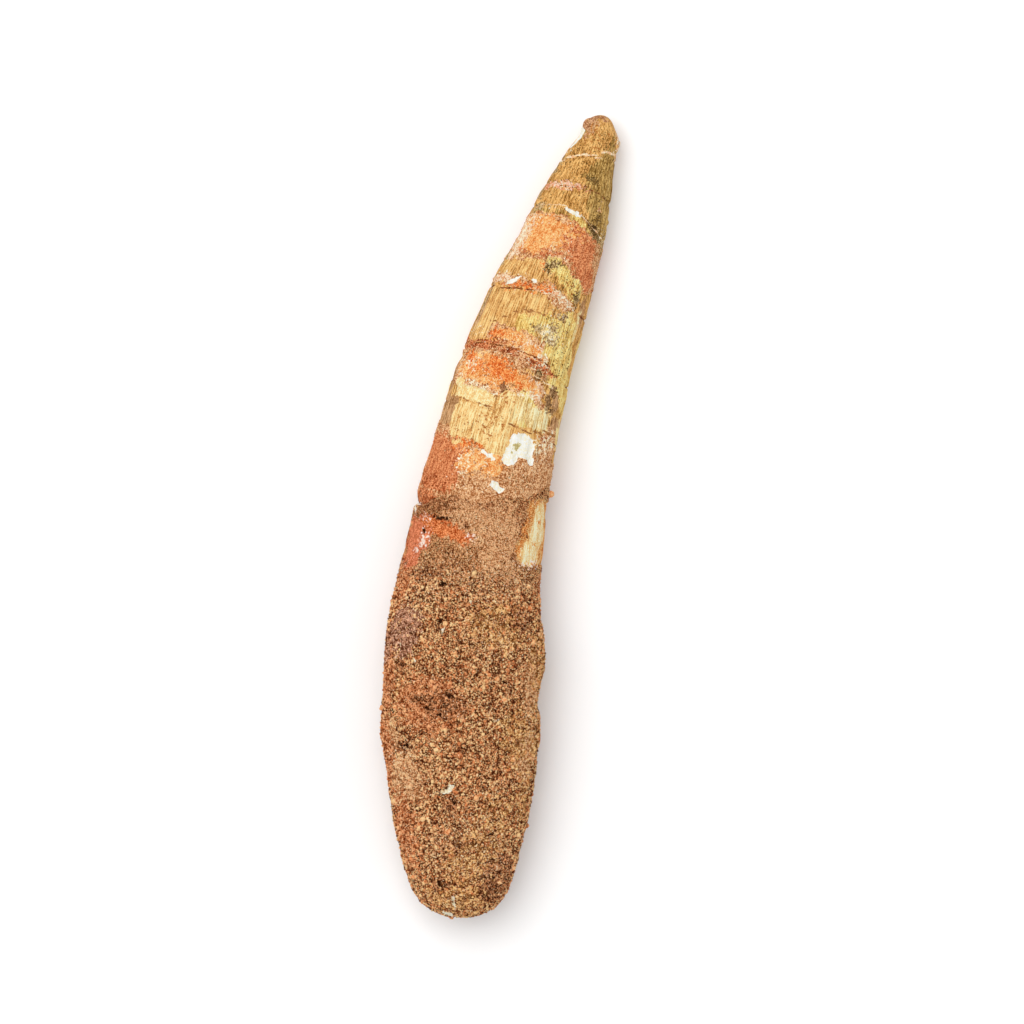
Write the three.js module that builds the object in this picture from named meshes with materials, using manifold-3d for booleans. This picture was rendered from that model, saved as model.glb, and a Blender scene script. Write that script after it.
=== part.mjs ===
// A fossil spinosaurus tooth, lying on its side.
//
// The tooth is one piece: a long conical crown that is fluted lengthwise and cracked into rings, and a
// root that a crust of coarse sandstone still covers. Films of the same sandstone cling to the crown,
// and flakes of enamel are missing from it.
//
// Millimetres, +Z up. The tooth lies along Y, with its tip at +Y, and curves in the plane that it lies on.
// The origin is under the middle of its bounding box, on the surface that it rests on.
//
// A place on the surface is told by how far it is along the curved axis from the tip, and by how far it
// is turned round the axis: 0 degrees is on top, 90 on the right (+X) side and -90 on the left.

import * as THREE from "three";
import { mergeVertices } from "three/addons/utils/BufferGeometryUtils.js";
import Module from "manifold-3d";

const wasm = await Module();
wasm.setup();

// The axis. It runs straight from the tip, leaning over to +X, and bends until it lies along Y.
const axisLength = 165;
const tipX = 21.15;
const tipY = 80.4;
const crownLean = THREE.MathUtils.degToRad(19.4);
const bendStart = 35;
const bendEnd = 139;
const axisSteps = 660;

// The sections are ovals. Each pair is a place along the axis, and what the section measures there.
const halfWidths = [
  [0, 2.6], [8, 4.6], [14, 6.15], [23, 7.9], [35, 9.5], [47, 10.7], [62, 11.7], [77, 12.8], [92, 13.8],
  [101, 14.8], [111, 16.0], [126, 16.1], [137, 14.9], [146, 13.5], [154, 11.6], [160, 9.6], [165, 8.4],
];
const thicknessShares = [[0, 0.95], [40, 0.865], [92, 0.84], [165, 0.82]];
const axisHeights = [
  [0, 5.4], [35, 7.85], [55, 9.6], [77, 11.0], [92, 11.45],
  [111, 12.75], [126, 12.7], [137, 12.1], [165, 11.2],
];
const tipRounding = 3;
const rootRounding = 6;

// The crown. Its flutes fade out before the tip.
const flutes = 29;
const fluteDepth = 0.2;
const fluteStart = 3;
const fluteFull = 14;
const crackDepth = 0.32;
const crackHalfWidth = 0.35;
const tipRows = [0.12, 0.6, 1.5]; // places along the axis
const crownRowSpacing = 6.4;
const crownEnd = 92; // it ends inside the root's crust
const enamelInsets = [[69, 0], [78, 0.5], [84, 0.9], [92, 4]]; // how far it lies under the crust's surface

// Rings that crack the enamel. Each leans to one side by its slant, and bows towards the root at both sides.
const cracks = [
  { along: 9.2, slant: -1.6, bow: 0.6 },
  { along: 15.4, slant: -0.4, bow: 1.2 },
  { along: 20.4, slant: 0.9, bow: 2.4 },
  { along: 37.6, slant: 0.2, bow: 2.4 },
  { along: 51.4, slant: 0.5, bow: 2.9 },
  { along: 65.0, slant: 1.5, bow: 0.5 },
];

// The root's crust.
const rimAlong = 80.3;
const rimSlant = -4.0;
const rimWander = 1.1;
const crustColumns = 45;
const crustRows = 32;
const crustEnd = 164.85;
const crustCrowding = 1.2; // above 1, the rows draw together towards the root's end
const calmRows = 4; // so many rows there stray less and less
const lumpSize = 8;
const lumpHeight = 0.55;
const knobHeight = 0.36;
const knobStray = 0.28; // how far a knob strays from its place in the grid, as a share of the grid's spacing

// Films of sandstone on the crown: each one's half length along the axis, its half width round it, and how
// proud it is.
const films = [
  { along: 27.6, around: 8, long: 4.7, wide: 12.5, proud: 0.36 },
  { along: 34.5, around: 48, long: 3.4, wide: 4.2, proud: 0.3 },
  { along: 52.2, around: -22, long: 2.6, wide: 11.0, proud: 0.36 },
  { along: 76.0, around: -38, long: 5.6, wide: 12.5, proud: 0.3 },
  { along: 73.5, around: 48, long: 4.4, wide: 5.6, proud: 0.34 },
  { along: 44.0, around: 168, long: 6.5, wide: 7.5, proud: 0.34 },
  { along: 30.0, around: 186, long: 3.2, wide: 3.6, proud: 0.32 },
  { along: 74.5, around: 165, long: 5.0, wide: 9.5, proud: 0.34 },
];

// Flakes that are gone from the enamel or the crust, and how deep each goes.
const flakes = [
  { along: 5.7, around: -50, long: 1.4, wide: 1.5, depth: 0.6 },
  { along: 57.4, around: -88, long: 4.4, wide: 5.2, depth: 0.42 },
  { along: 61.6, around: -31, long: 2.2, wide: 3.9, depth: 0.26 },
  { along: 69.7, around: 23, long: 3.1, wide: 2.9, depth: 0.34 },
  { along: 78.6, around: 13, long: 1.2, wide: 1.0, depth: 0.5 },
  { along: 88.3, around: -24, long: 2.3, wide: 4.6, depth: 0.4 },
  { along: 90.0, around: -56, long: 4.2, wide: 3.4, depth: 0.4 },
  { along: 58.0, around: 132, long: 4.5, wide: 4.0, depth: 0.34 },
  { along: 86.2, around: 58, long: 6.6, wide: 2.4, depth: 0.5 },
  { along: 163.6, around: -60, long: 2.0, wide: 4.2, depth: 1.3 },
];

// Smooth swellings and hollows, with their reach along the axis and round it.
const swellings = [
  { along: 5.2, around: 88, long: 2.6, wide: 2.4, height: 0.6 },
  { along: 47.5, around: -88, long: 7.0, wide: 6.0, height: 0.4 },
  { along: 110.5, around: 86, long: 5.2, wide: 9.0, height: 0.65 },
  { along: 121.3, around: 84, long: 1.7, wide: 4.5, height: -0.65 },
  { along: 127.3, around: -86, long: 3.6, wide: 6.0, height: 0.35 },
  { along: 121.0, around: -8, long: 2.2, wide: 2.4, height: -0.8 },
  { along: 124.3, around: -13, long: 1.8, wide: 2.6, height: -0.8 },
  { along: 130.6, around: -50, long: 1.9, wide: 3.0, height: -0.7 },
  { along: 107.2, around: -17, long: 1.3, wide: 1.3, height: -0.9 },
  { along: 147.0, around: 22, long: 1.6, wide: 4.0, height: -0.5 },
  { along: 136.0, around: 140, long: 4.0, wide: 6.0, height: 0.6 },
];

// A grain of grit on the crust's rim.
const nub = { along: 77.6, around: 88, radius: 0.95, sink: 0.1 };

// How films and flakes are made.
const edgePoints = 14; // round the outline
const edgeWander = 0.17; // how ragged the outline is, as a share of its size
const layerTurn = 17; // degrees round the tooth that one layer may span
const filmRoughness = 0.13;
const filmDepth = 1.2; // how far a film reaches into the tooth
const flakeRoughness = 0.05;
const cutterReach = 2.5; // how far a flake's cutter stands out of the tooth

const groundSize = [200, 300, 20]; // what is cut away below the tooth
const smallestDetail = 0.035; // corners nearer than this to a flat face are left out
const mergeDistance = 1e-4;

const clamp = THREE.MathUtils.clamp;
const radians = THREE.MathUtils.degToRad;
const smooth = (share) => THREE.MathUtils.smoothstep(share, 0, 1);

// The smooth curve through [place, value] stations.
function through(stations, place) {
  let i = 0;
  while (i < stations.length - 2 && place > stations[i + 1][0]) i++;
  const slopeAt = (k) => {
    const [before, after] = [stations[Math.max(k - 1, 0)], stations[Math.min(k + 1, stations.length - 1)]];
    return (after[1] - before[1]) / (after[0] - before[0]);
  };
  const [[start, from], [end, to]] = [stations[i], stations[i + 1]];
  const span = end - start;
  const t = clamp((place - start) / span, 0, 1);
  const startWeight = (1 + 2 * t) * (1 - t) ** 2;
  const slopes = t * (1 - t) ** 2 * slopeAt(i) - t * t * (1 - t) * slopeAt(i + 1);
  return startWeight * from + (1 - startWeight) * to + slopes * span;
}

// How far the axis leans from Y at a place along it.
function leanAt(along) {
  return crownLean * (1 - smooth((along - bendStart) / (bendEnd - bendStart)));
}

// Points of the axis in plan, an equal step apart.
function makeAxis() {
  const step = axisLength / axisSteps;
  const points = [new THREE.Vector2(tipX, tipY)];
  for (let i = 1; i <= axisSteps; i++) {
    const lean = leanAt((i - 0.5) * step);
    const onward = new THREE.Vector2(-Math.sin(lean), -Math.cos(lean));
    points.push(points[i - 1].clone().addScaledVector(onward, step));
  }
  return points;
}

const axisPoints = makeAxis();

function axisAt(along) {
  const place = clamp((along / axisLength) * axisSteps, 0, axisSteps);
  const i = Math.min(Math.floor(place), axisSteps - 1);
  return axisPoints[i].clone().lerp(axisPoints[i + 1], place - i);
}

function axisPoint(along) {
  return new THREE.Vector3(...axisAt(along), through(axisHeights, along));
}

// How much of the full section is left inside the rounding of either end.
function endShare(along) {
  const gone = Math.max(1 - along / tipRounding, 1 - (axisLength - along) / rootRounding, 0);
  return Math.sqrt(Math.max(1 - gone * gone, 0));
}

// The point on the oval section at a place along the axis, turned so far round it and raised off it.
function surfacePoint(along, turn, raise) {
  const place = clamp(along, 0, axisLength);
  const share = endShare(place);
  const halfWidth = through(halfWidths, place) * share;
  const halfThickness = halfWidth * through(thicknessShares, place);
  const outward = new THREE.Vector2(Math.sin(turn) * halfThickness, Math.cos(turn) * halfWidth).normalize();
  const across = Math.sin(turn) * halfWidth + outward.x * raise * share;
  const up = Math.cos(turn) * halfThickness + outward.y * raise * share;
  const { x, y } = axisAt(place);
  const lean = leanAt(place);
  return new THREE.Vector3(
    x + across * Math.cos(lean),
    y - across * Math.sin(lean),
    through(axisHeights, place) + up,
  );
}

// A number from 0 to 1 that looks random and is the same each time.
function hash(x, y, z) {
  const scrambled = Math.sin(x * 127.1 + y * 311.7 + z * 74.7) * 43758.5453;
  return scrambled - Math.floor(scrambled);
}

// Smooth noise from -1 to 1 with lumps of a size.
function noise(point, size) {
  const p = point.clone().divideScalar(size);
  const cell = p.clone().floor();
  const inside = p.sub(cell);
  const [tx, ty, tz] = [smooth(inside.x), smooth(inside.y), smooth(inside.z)];
  let sum = 0;
  for (const dx of [0, 1])
    for (const dy of [0, 1])
      for (const dz of [0, 1]) {
        const weight = (dx ? tx : 1 - tx) * (dy ? ty : 1 - ty) * (dz ? tz : 1 - tz);
        sum += weight * hash(cell.x + dx, cell.y + dy, cell.z + dz);
      }
  return 2 * sum - 1;
}

// The shortest turn from one direction round the axis to another.
function turnBetween(from, to) {
  return Math.atan2(Math.sin(to - from), Math.cos(to - from));
}

function swelling(along, turn) {
  const radius = through(halfWidths, clamp(along, 0, axisLength));
  return swellings.reduce((sum, s) => {
    const away = Math.hypot(
      (along - s.along) / s.long,
      (turnBetween(radians(s.around), turn) * radius) / s.wide,
    );
    return sum + s.height * Math.exp(-away * away);
  }, 0);
}

// The solid inside a closed geometry.
function solidOf(geometry) {
  geometry.deleteAttribute("normal");
  geometry.deleteAttribute("uv");
  const merged = mergeVertices(geometry, mergeDistance);
  return new wasm.Manifold(
    new wasm.Mesh({
      numProp: 3,
      vertProperties: merged.getAttribute("position").array,
      triVerts: new Uint32Array(merged.index.array),
    }),
  );
}

// A sphere's grid pulled over another shape: placeOf says where each corner goes. The first row and the
// last are the two poles.
function skinOf(columns, rows, placeOf) {
  const sphere = new THREE.SphereGeometry(1, columns, rows);
  const corners = sphere.getAttribute("position");
  for (let row = 0; row <= rows; row++)
    for (let column = 0; column <= columns; column++) {
      corners.setXYZ(row * (columns + 1) + column, ...placeOf(row, column % columns));
    }
  return solidOf(sphere);
}

// How the crown's rings bend at a place: as the cracks on either side of it do.
function bendOf(along) {
  const stations = (key) => [[0, 0], ...cracks.map((c) => [c.along, c[key]]), [crownEnd, 0]];
  return { slant: through(stations("slant"), along), bow: through(stations("bow"), along) };
}

// The rows of the crown: three for each crack, and evenly spaced ones between them.
function crownRows() {
  const edges = [tipRounding, ...cracks.map((c) => c.along), crownEnd];
  const rows = tipRows.map((along) => ({ along, sink: 0 }));
  for (let i = 0; i < edges.length - 1; i++) {
    const isCrack = i > 0;
    const from = edges[i] + (isCrack ? crackHalfWidth : 0);
    const to = edges[i + 1] - (i < edges.length - 2 ? crackHalfWidth : 0);
    const count = Math.max(1, Math.round((to - from) / crownRowSpacing));
    if (isCrack) rows.push({ along: edges[i], sink: crackDepth });
    for (let k = 0; k <= count; k++) rows.push({ along: from + ((to - from) * k) / count, sink: 0 });
  }
  return rows;
}

function makeCrown() {
  const columns = 2 * flutes;
  const rows = crownRows();
  return skinOf(columns, rows.length + 1, (row, column) => {
    if (row === 0) return axisPoint(0);
    if (row > rows.length) return axisPoint(crownEnd);
    const { along, sink } = rows[row - 1];
    const { slant, bow } = bendOf(along);
    const turn = (2 * Math.PI * column) / columns;
    const place = along + slant * Math.sin(turn) + bow * Math.sin(turn) ** 2;
    const fluted = smooth((place - fluteStart) / (fluteFull - fluteStart));
    const ridge = (column % 2 ? 0.5 : -0.5) * fluteDepth * fluted;
    const inset = through(enamelInsets, place);
    return surfacePoint(place, turn, ridge + swelling(place, turn) - inset - sink);
  });
}

// A number from -1 to 1 for one corner of a grid.
function stray(row, column, kind) {
  return 2 * hash(row, column, kind) - 1;
}

function rimPlace(turn) {
  const wander = Math.sin(3 * turn + 0.7) + 0.6 * Math.sin(7 * turn + 2.1);
  return rimAlong + rimSlant * Math.sin(turn) + rimWander * wander;
}

// Each row is turned back by half a column, so that its corners lie between those of the row before. Each
// corner strays from its place and stands out as a knob of its own, but not at the rim.
function makeCrust() {
  return skinOf(crustColumns, crustRows + 2, (row, column) => {
    if (row === 0) return axisPoint(rimAlong);
    if (row === crustRows + 2) return axisPoint(axisLength);
    const fromRim = row - 1;
    const rough = knobStray * Math.min(fromRim, 1, (crustRows - fromRim) / calmRows);
    const turn = ((column - fromRim / 2 + rough * stray(row, column, 1)) * 2 * Math.PI) / crustColumns;
    const left = 1 - (fromRim + rough * stray(row, column, 2)) / crustRows;
    const along = crustEnd - (crustEnd - rimPlace(turn)) * left ** crustCrowding;
    const lump = lumpHeight * noise(surfacePoint(along, turn, 0), lumpSize);
    return surfacePoint(along, turn, lump + knobHeight * stray(row, column, 3) + swelling(along, turn));
  });
}

// A plate with a ragged oval outline that follows the tooth's surface. The side that will be seen is made in
// layers from its middle outwards, at one raise, and the side that won't be has none, at another.
function plate({ along, around, long, wide }, seenRaise, hiddenRaise, roughness, seed) {
  const radius = through(halfWidths, along);
  const layers = Math.max(2, Math.ceil(wide / radius / radians(layerTurn)));
  const stops = Array.from({ length: layers + 1 }, (_, k) => ({ share: k / layers, raise: seenRaise }));
  stops.push({ share: 1, raise: hiddenRaise }, { share: 0, raise: hiddenRaise });
  if (hiddenRaise > seenRaise) stops.reverse();
  return skinOf(edgePoints, stops.length - 1, (row, column) => {
    const { share, raise } = stops[row];
    const angle = (2 * Math.PI * column) / edgePoints;
    const ragged = 1 + edgeWander * (stray(column, seed, 1) + Math.sin(3 * angle + seed));
    const rough = roughness * share * stray(column, seed, share);
    const place = along + long * share * ragged * Math.cos(angle);
    const turn = radians(around) + (wide * share * ragged * Math.sin(angle)) / radius;
    return surfacePoint(place, turn, raise + swelling(place, turn) + rough);
  });
}

function makeNub() {
  const { along, around, radius, sink } = nub;
  const ball = new THREE.IcosahedronGeometry(radius, 1);
  return solidOf(ball.translate(...surfacePoint(along, radians(around), -sink)));
}

// All that is below the surface that the tooth rests on.
function makeGround() {
  const [x, y, z] = groundSize;
  return solidOf(new THREE.BoxGeometry(x, y, z).translate(0, 0, -z / 2));
}

function makeTooth() {
  let crown = makeCrown();
  films.forEach((film, i) => {
    crown = crown.add(plate(film, film.proud, -filmDepth, filmRoughness, i));
  });
  let tooth = crown.add(makeCrust()).add(makeNub());
  flakes.forEach((flake, i) => {
    tooth = tooth.subtract(plate(flake, -flake.depth, cutterReach, flakeRoughness, films.length + i));
  });
  return tooth.subtract(makeGround()).simplify(smallestDetail);
}

function geometryOf(solid) {
  const { numProp, vertProperties, triVerts } = solid.getMesh();
  if (numProp !== 3) throw new Error("the solid carries more than positions");
  const geometry = new THREE.BufferGeometry();
  geometry.setAttribute("position", new THREE.BufferAttribute(vertProperties, 3));
  geometry.setIndex(new THREE.BufferAttribute(triVerts, 1));
  geometry.computeVertexNormals();
  return geometry;
}

const fossil = new THREE.MeshStandardMaterial({ color: 0x9c6b42, roughness: 0.85, metalness: 0 });

const tooth = new THREE.Mesh(geometryOf(makeTooth()), fossil);
tooth.name = "tooth";

const part = new THREE.Group();
part.add(tooth);

export default part;
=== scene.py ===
import math

import bpy
import numpy as np
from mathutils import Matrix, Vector


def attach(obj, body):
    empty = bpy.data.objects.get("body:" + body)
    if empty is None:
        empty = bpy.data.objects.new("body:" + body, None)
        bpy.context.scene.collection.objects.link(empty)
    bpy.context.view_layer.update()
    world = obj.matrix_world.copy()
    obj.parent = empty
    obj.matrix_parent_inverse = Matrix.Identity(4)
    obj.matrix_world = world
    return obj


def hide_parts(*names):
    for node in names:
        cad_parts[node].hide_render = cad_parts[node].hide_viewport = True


# A fossil spinosaurus tooth, lying on its side: a long fluted crown, cracked into rings and smeared with
# sandstone, and a root that a crust of coarse sandstone still covers.
#
# Sizes are in millimetres until a mesh is made. A place on the tooth is told by along, how far it is from the
# tip along the curved axis, and by turn, how far it is turned round the axis: 0 is on top, and positive turns
# are towards +X. In the lists of markings the turns are in degrees.

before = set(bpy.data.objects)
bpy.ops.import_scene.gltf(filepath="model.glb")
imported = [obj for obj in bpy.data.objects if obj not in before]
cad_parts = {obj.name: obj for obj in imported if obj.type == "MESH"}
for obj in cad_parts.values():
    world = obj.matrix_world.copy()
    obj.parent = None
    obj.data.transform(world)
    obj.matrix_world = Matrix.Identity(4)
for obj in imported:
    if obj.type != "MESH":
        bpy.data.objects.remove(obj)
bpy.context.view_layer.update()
metresPerMm = 0.001

# The tooth's own shape

tooth = {
    "axisLength": 165,
    "tipX": 21.15,
    "tipY": 80.4,
    "crownLean": 19.4,  # degrees from Y, over the crown's straight part
    "bendStart": 35,
    "bendEnd": 139,
    "axisSteps": 660,
    "tipRounding": 3,
    "rootRounding": 6,
    "fibreStretch": 18,  # how far noise is drawn out lengthwise into fibres
    "gloss": 0.03,  # stone and worn enamel are almost matt
    # along, half width
    "halfWidths": [
        (0, 2.6), (8, 4.6), (14, 6.15), (23, 7.9), (35, 9.5), (47, 10.7), (62, 11.7), (77, 12.8),
        (92, 13.8), (101, 14.8), (111, 16), (126, 16.1), (137, 14.9), (146, 13.5), (154, 11.6),
        (160, 9.6), (165, 8.4),
    ],
    "thicknessShares": [(0, 0.95), (40, 0.865), (92, 0.84), (165, 0.82)],
    "axisHeights": [
        (0, 5.4), (35, 7.85), (55, 9.6), (77, 11), (92, 11.45), (111, 12.75), (126, 12.7), (137, 12.1),
        (165, 11.2),
    ],
    # along, around, reach along, reach round, height
    "swellings": [
        (5.2, 88, 2.6, 2.4, 0.6), (47.5, -88, 7, 6, 0.4), (110.5, 86, 5.2, 9, 0.65),
        (121.3, 84, 1.7, 4.5, -0.65), (127.3, -86, 3.6, 6, 0.35), (121, -8, 2.2, 2.4, -0.8),
        (124.3, -13, 1.8, 2.6, -0.8), (130.6, -50, 1.9, 3, -0.7), (107.2, -17, 1.3, 1.3, -0.9),
        (147, 22, 1.6, 4, -0.5), (136, 140, 4, 6, 0.6),
    ],
    # along, how much further the left and the right side stand out
    "sides": [
        (0, 0.1, 0), (2, 0.15, -0.1), (4, -0.35, 0.4), (6, -0.4, 0), (8, -0.25, 0.25), (12, -0.3, 0.2),
        (16, -0.3, 0.25), (20, -0.2, 0.05), (24, -0.5, 0.2), (28, -0.7, -0.15), (32, -0.5, -0.3),
        (36, 0.2, -0.2), (40, 0, -0.2), (45, -0.35, -0.4), (48, -0.3, -0.5), (51, -0.2, -0.45),
        (54, -0.3, -0.4), (57, 0.3, -0.2), (60, 0.1, -0.25), (63, -0.05, -0.3), (66, -0.25, -0.2),
        (70, -0.55, -0.1), (73, -0.5, 0), (76, -0.3, 0), (79, 0.1, 0.1), (82, 0.45, 0.3), (85, -0.3, 0.6),
        (88, -0.45, 0.65), (91, -0.3, 0.6), (93, -0.3, 0.2), (96, 0, -0.4), (99, -0.4, -0.8),
        (104, -0.7, -0.6), (108, -0.6, -0.8), (112, -0.7, -0.5), (117, -0.8, -0.6), (121, -0.8, -0.9),
        (128, -1, -0.55), (134, -0.8, -0.3), (138, -0.9, -0.4), (144, -0.8, -0.2), (150, -0.7, -0.7),
        (156, -0.5, -0.6), (160, -0.8, -1), (165, -1.2, -0.5),
    ],
}


# From 0 at start to 1 at end, easing in and out: 3t^2 - 2t^3.
def ramp(value, start=0.0, end=1.0):
    t = np.clip((value - start) / (end - start), 0, 1)
    return t * t * (3 - 2 * t)


# A bell: 1 at a place, and falling off by the square of the distance in reaches.
def bell(distance, reach):
    return np.exp(-((distance / reach) ** 2))


# The smooth curve through (place, value) stations: a cubic between each two, whose slope at a station is that
# of the straight line between its neighbours. It stays level past either end.
def through(stations, place):
    places, values = np.array(stations, float).T
    last = len(places) - 1
    order = np.arange(last + 1)
    before, after = np.maximum(order - 1, 0), np.minimum(order + 1, last)
    slopes = (values[after] - values[before]) / (places[after] - places[before])
    i = np.clip(np.searchsorted(places, place, side="right") - 1, 0, last - 1)
    span = places[i + 1] - places[i]
    t = np.clip((place - places[i]) / span, 0, 1)
    startWeight = (1 + 2 * t) * (1 - t) ** 2
    bend = t * (1 - t) ** 2 * slopes[i] - t**2 * (1 - t) * slopes[i + 1]
    return startWeight * values[i] + (1 - startWeight) * values[i + 1] + bend * span


# How far the axis leans from Y, in radians: crownLean up to bendStart, easing to none at bendEnd.
def leanAt(along):
    return math.radians(tooth["crownLean"]) * (1 - ramp(along, tooth["bendStart"], tooth["bendEnd"]))


# The axis in plan: equal steps from the tip, each in the direction of the lean at its middle, summed up.
def makeAxis():
    step = tooth["axisLength"] / tooth["axisSteps"]
    lean = leanAt((np.arange(tooth["axisSteps"]) + 0.5) * step)
    x = tooth["tipX"] - np.concatenate([[0], np.cumsum(np.sin(lean) * step)])
    y = tooth["tipY"] - np.concatenate([[0], np.cumsum(np.cos(lean) * step)])
    return np.arange(tooth["axisSteps"] + 1) * step, x, y


axisAlong, axisX, axisY = makeAxis()


# The point on the axis itself, read between its steps.
def axisPoint(along):
    x, y = np.interp(along, axisAlong, axisX), np.interp(along, axisAlong, axisY)
    return x, y, through(tooth["axisHeights"], along)


# How much of the full section is left inside the rounding of either end: the height of a quarter circle.
def endShare(along):
    fromEnd = tooth["axisLength"] - along
    gone = np.maximum(1 - along / tooth["tipRounding"], 1 - fromEnd / tooth["rootRounding"])
    return np.sqrt(np.clip(1 - np.maximum(gone, 0) ** 2, 0, 1))


def halfWidthAt(along):
    return through(tooth["halfWidths"], along)


# The point on an oval section across the leaning axis: (sin turn * half width, cos turn * half thickness),
# moved out along the oval's normal by raised.
def surfacePoints(along, turn, raised):
    share = endShare(along)
    halfWidth = halfWidthAt(along) * share
    halfThickness = halfWidth * through(tooth["thicknessShares"], along)
    sine, cosine = np.sin(turn), np.cos(turn)
    outX, outZ = sine * halfThickness, cosine * halfWidth
    outward = np.maximum(np.hypot(outX, outZ), 1e-9)
    across = sine * halfWidth + outX / outward * raised * share
    up = cosine * halfThickness + outZ / outward * raised * share
    lean = leanAt(along)
    x, y, z = axisPoint(along)
    return np.stack([x + across * np.cos(lean), y - across * np.sin(lean), z + up], axis=-1)


# Places on a drum as wide as the tooth, squeezed lengthwise: noise read there is drawn out into fibres.
def fibreAt(along, turn):
    radius = halfWidthAt(along)
    return np.stack([radius * np.sin(turn), radius * np.cos(turn), along / tooth["fibreStretch"]], axis=-1)


# Numbers that look random and are the same each time

# A number from 0 to 1 for each cell: the fraction of a large sine.
def hashAt(x, y, z):
    scrambled = np.sin(x * 127.1 + y * 311.7 + z * 74.7) * 43758.5453
    return scrambled - np.floor(scrambled)


# Smooth noise from -1 to 1 with lumps of a size: the hashes at a cell's eight corners, eased together.
def noise(points, size):
    scaled = points / size
    cell = np.floor(scaled)
    t = ramp(scaled - cell)
    total = np.zeros(points.shape[:-1])
    for corner in np.ndindex(2, 2, 2):
        weight = np.prod(np.where(corner, t, 1 - t), axis=-1)
        total += weight * hashAt(*np.moveaxis(cell + corner, -1, 0))
    return 2 * total - 1


# Noises added up, each given as its height and its size.
def layered(points, *layers):
    return sum(height * noise(points, size) for height, size in layers)


# Packed grit from 0 in the gaps to 1 on the grains: 1 less the distance to the nearest of the stray points,
# of which each cell holds one.
def grit(points, size):
    scaled = points / size
    cell = np.floor(scaled)
    nearest = np.full(points.shape[:-1], 9.0)
    for corner in np.ndindex(3, 3, 3):
        neighbour = cell + corner - 1
        x, y, z = np.moveaxis(neighbour, -1, 0)
        stray = np.stack([hashAt(x, y, z), hashAt(y, z, x + 5), hashAt(z, x, y + 9)], axis=-1)
        nearest = np.minimum(nearest, np.sum((scaled - (neighbour + stray)) ** 2, axis=-1))
    return 1 - np.clip(np.sqrt(nearest), 0, 1)


# The rings that crack the crown

rings = {
    "end": 90,  # the crown runs on under the root's crust
    # along, slant to one side, bow towards the root at both sides, depth
    "cracks": [
        (9.2, -1.6, 0.6, 0.22), (15.4, -0.4, 1.2, 0.26), (20.4, 0.9, 2.4, 0.2), (37.6, 0.2, 2.4, 0.32),
        (51.4, 0.5, 2.9, 0.3), (65, 1.5, 0.5, 0.18),
    ],
    "plainFrom": 92,  # from here on a ring has no slant and no bow
    "halfWidth": 0.24,
    "wander": [(0.3, 3.1), (0.2, 1.1)],  # how far a crack wanders: heights and sizes of noise
}


# The slant and the bow of the ring at a place, carried smoothly from each crack to the next.
def ringBends(place):
    cracks = rings["cracks"]
    plain = rings["plainFrom"]
    slants = [(0, 0)] + [(at, slant) for at, slant, _, _ in cracks] + [(plain, 0)]
    bows = [(0, 0)] + [(at, bow) for at, _, bow, _ in cracks] + [(plain, 0)]
    return through(slants, place), through(bows, place)


# How far down the tooth a place is, counted in rings: along, less the slant and the bow of the rings there.
def ringPlace(along, turn):
    slant, bow = ringBends(along)
    return along - slant * np.sin(turn) - bow * np.sin(turn) ** 2


# The turn from one direction to another, the short way round.
def turnBetween(start, end):
    return np.arctan2(np.sin(end - start), np.cos(end - start))


# Where a marking lies

edges = {
    "stray": [(0.45, 2.4), (0.36, 1), (0.22, 0.5)],  # heights and sizes of the noise that makes edges ragged
    "strayShift": (31, 17, 5),  # the edges stray sideways by the noise this far off
    "farOutside": -9.0,
}


# What the markings need to know about places. The noise that makes their edges ragged is added here.
def placesAt(along, turn):
    points, ring = surfacePoints(along, turn, 0), ringPlace(along, turn)
    return {
        "along": along,
        "turn": turn,
        "points": points,
        "radius": halfWidthAt(along),
        "ring": ring + layered(points, *edges["stray"]),
        "stray": layered(points + edges["strayShift"], *edges["stray"]),
        "crackPlace": ring + layered(points, *rings["wander"]),
    }


# How far inside the edge of the nearest of these ovals each place is, in millimetres, and below 0 outside it:
# 1 less the distance from its middle, counted in half lengths, times its smaller half length. Corners above 2
# square the oval off.
def insideOf(ovals, places):
    inside = np.full(places["along"].shape, edges["farOutside"])
    for middle, around, halfLength, halfWidth, *rest in ovals:
        tilt, corners = rest + [0, 2][len(rest):]
        direction, slope = math.radians(around), math.radians(tilt)
        onward = places["ring"] - ringPlace(middle, direction)
        across = turnBetween(direction, places["turn"]) * places["radius"] + places["stray"]
        lengthwise = onward * math.cos(slope) - across * math.sin(slope)
        sideways = onward * math.sin(slope) + across * math.cos(slope)
        away = np.abs(lengthwise / halfLength) ** corners + np.abs(sideways / halfWidth) ** corners
        inside = np.maximum(inside, (1 - away ** (1 / corners)) * min(halfLength, halfWidth))
    return inside


# How far inside a line that follows the rings each place is, in millimetres: half its width, less the
# distance to it. A line runs from one turn to another.
def insideLines(strips, places):
    inside = np.full(places["along"].shape, edges["farOutside"])
    for place, start, end, halfWidth in strips:
        middle, reach = math.radians((start + end) / 2), math.radians((end - start) / 2)
        beyond = np.maximum(np.abs(turnBetween(middle, places["turn"])) - reach, 0) * places["radius"]
        inside = np.maximum(inside, halfWidth - np.abs(places["crackPlace"] - place) - beyond)
    return inside


# How far the surface swells off the plain oval: bell-shaped lumps, and sides that stand out by the square of
# the turn's sine.
def swellingAt(along, turn):
    sine, radius = np.sin(turn), halfWidthAt(along)
    total = np.zeros(along.shape)
    for middle, around, reachAlong, reachRound, height in tooth["swellings"]:
        arc = turnBetween(math.radians(around), turn) * radius
        total += height * bell(along - middle, reachAlong) * bell(arc, reachRound)
    left = through([(place, out) for place, out, _ in tooth["sides"]], along)
    right = through([(place, out) for place, _, out in tooth["sides"]], along)
    return total + sine**2 * np.where(sine < 0, left, right)


# Meshes

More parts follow.
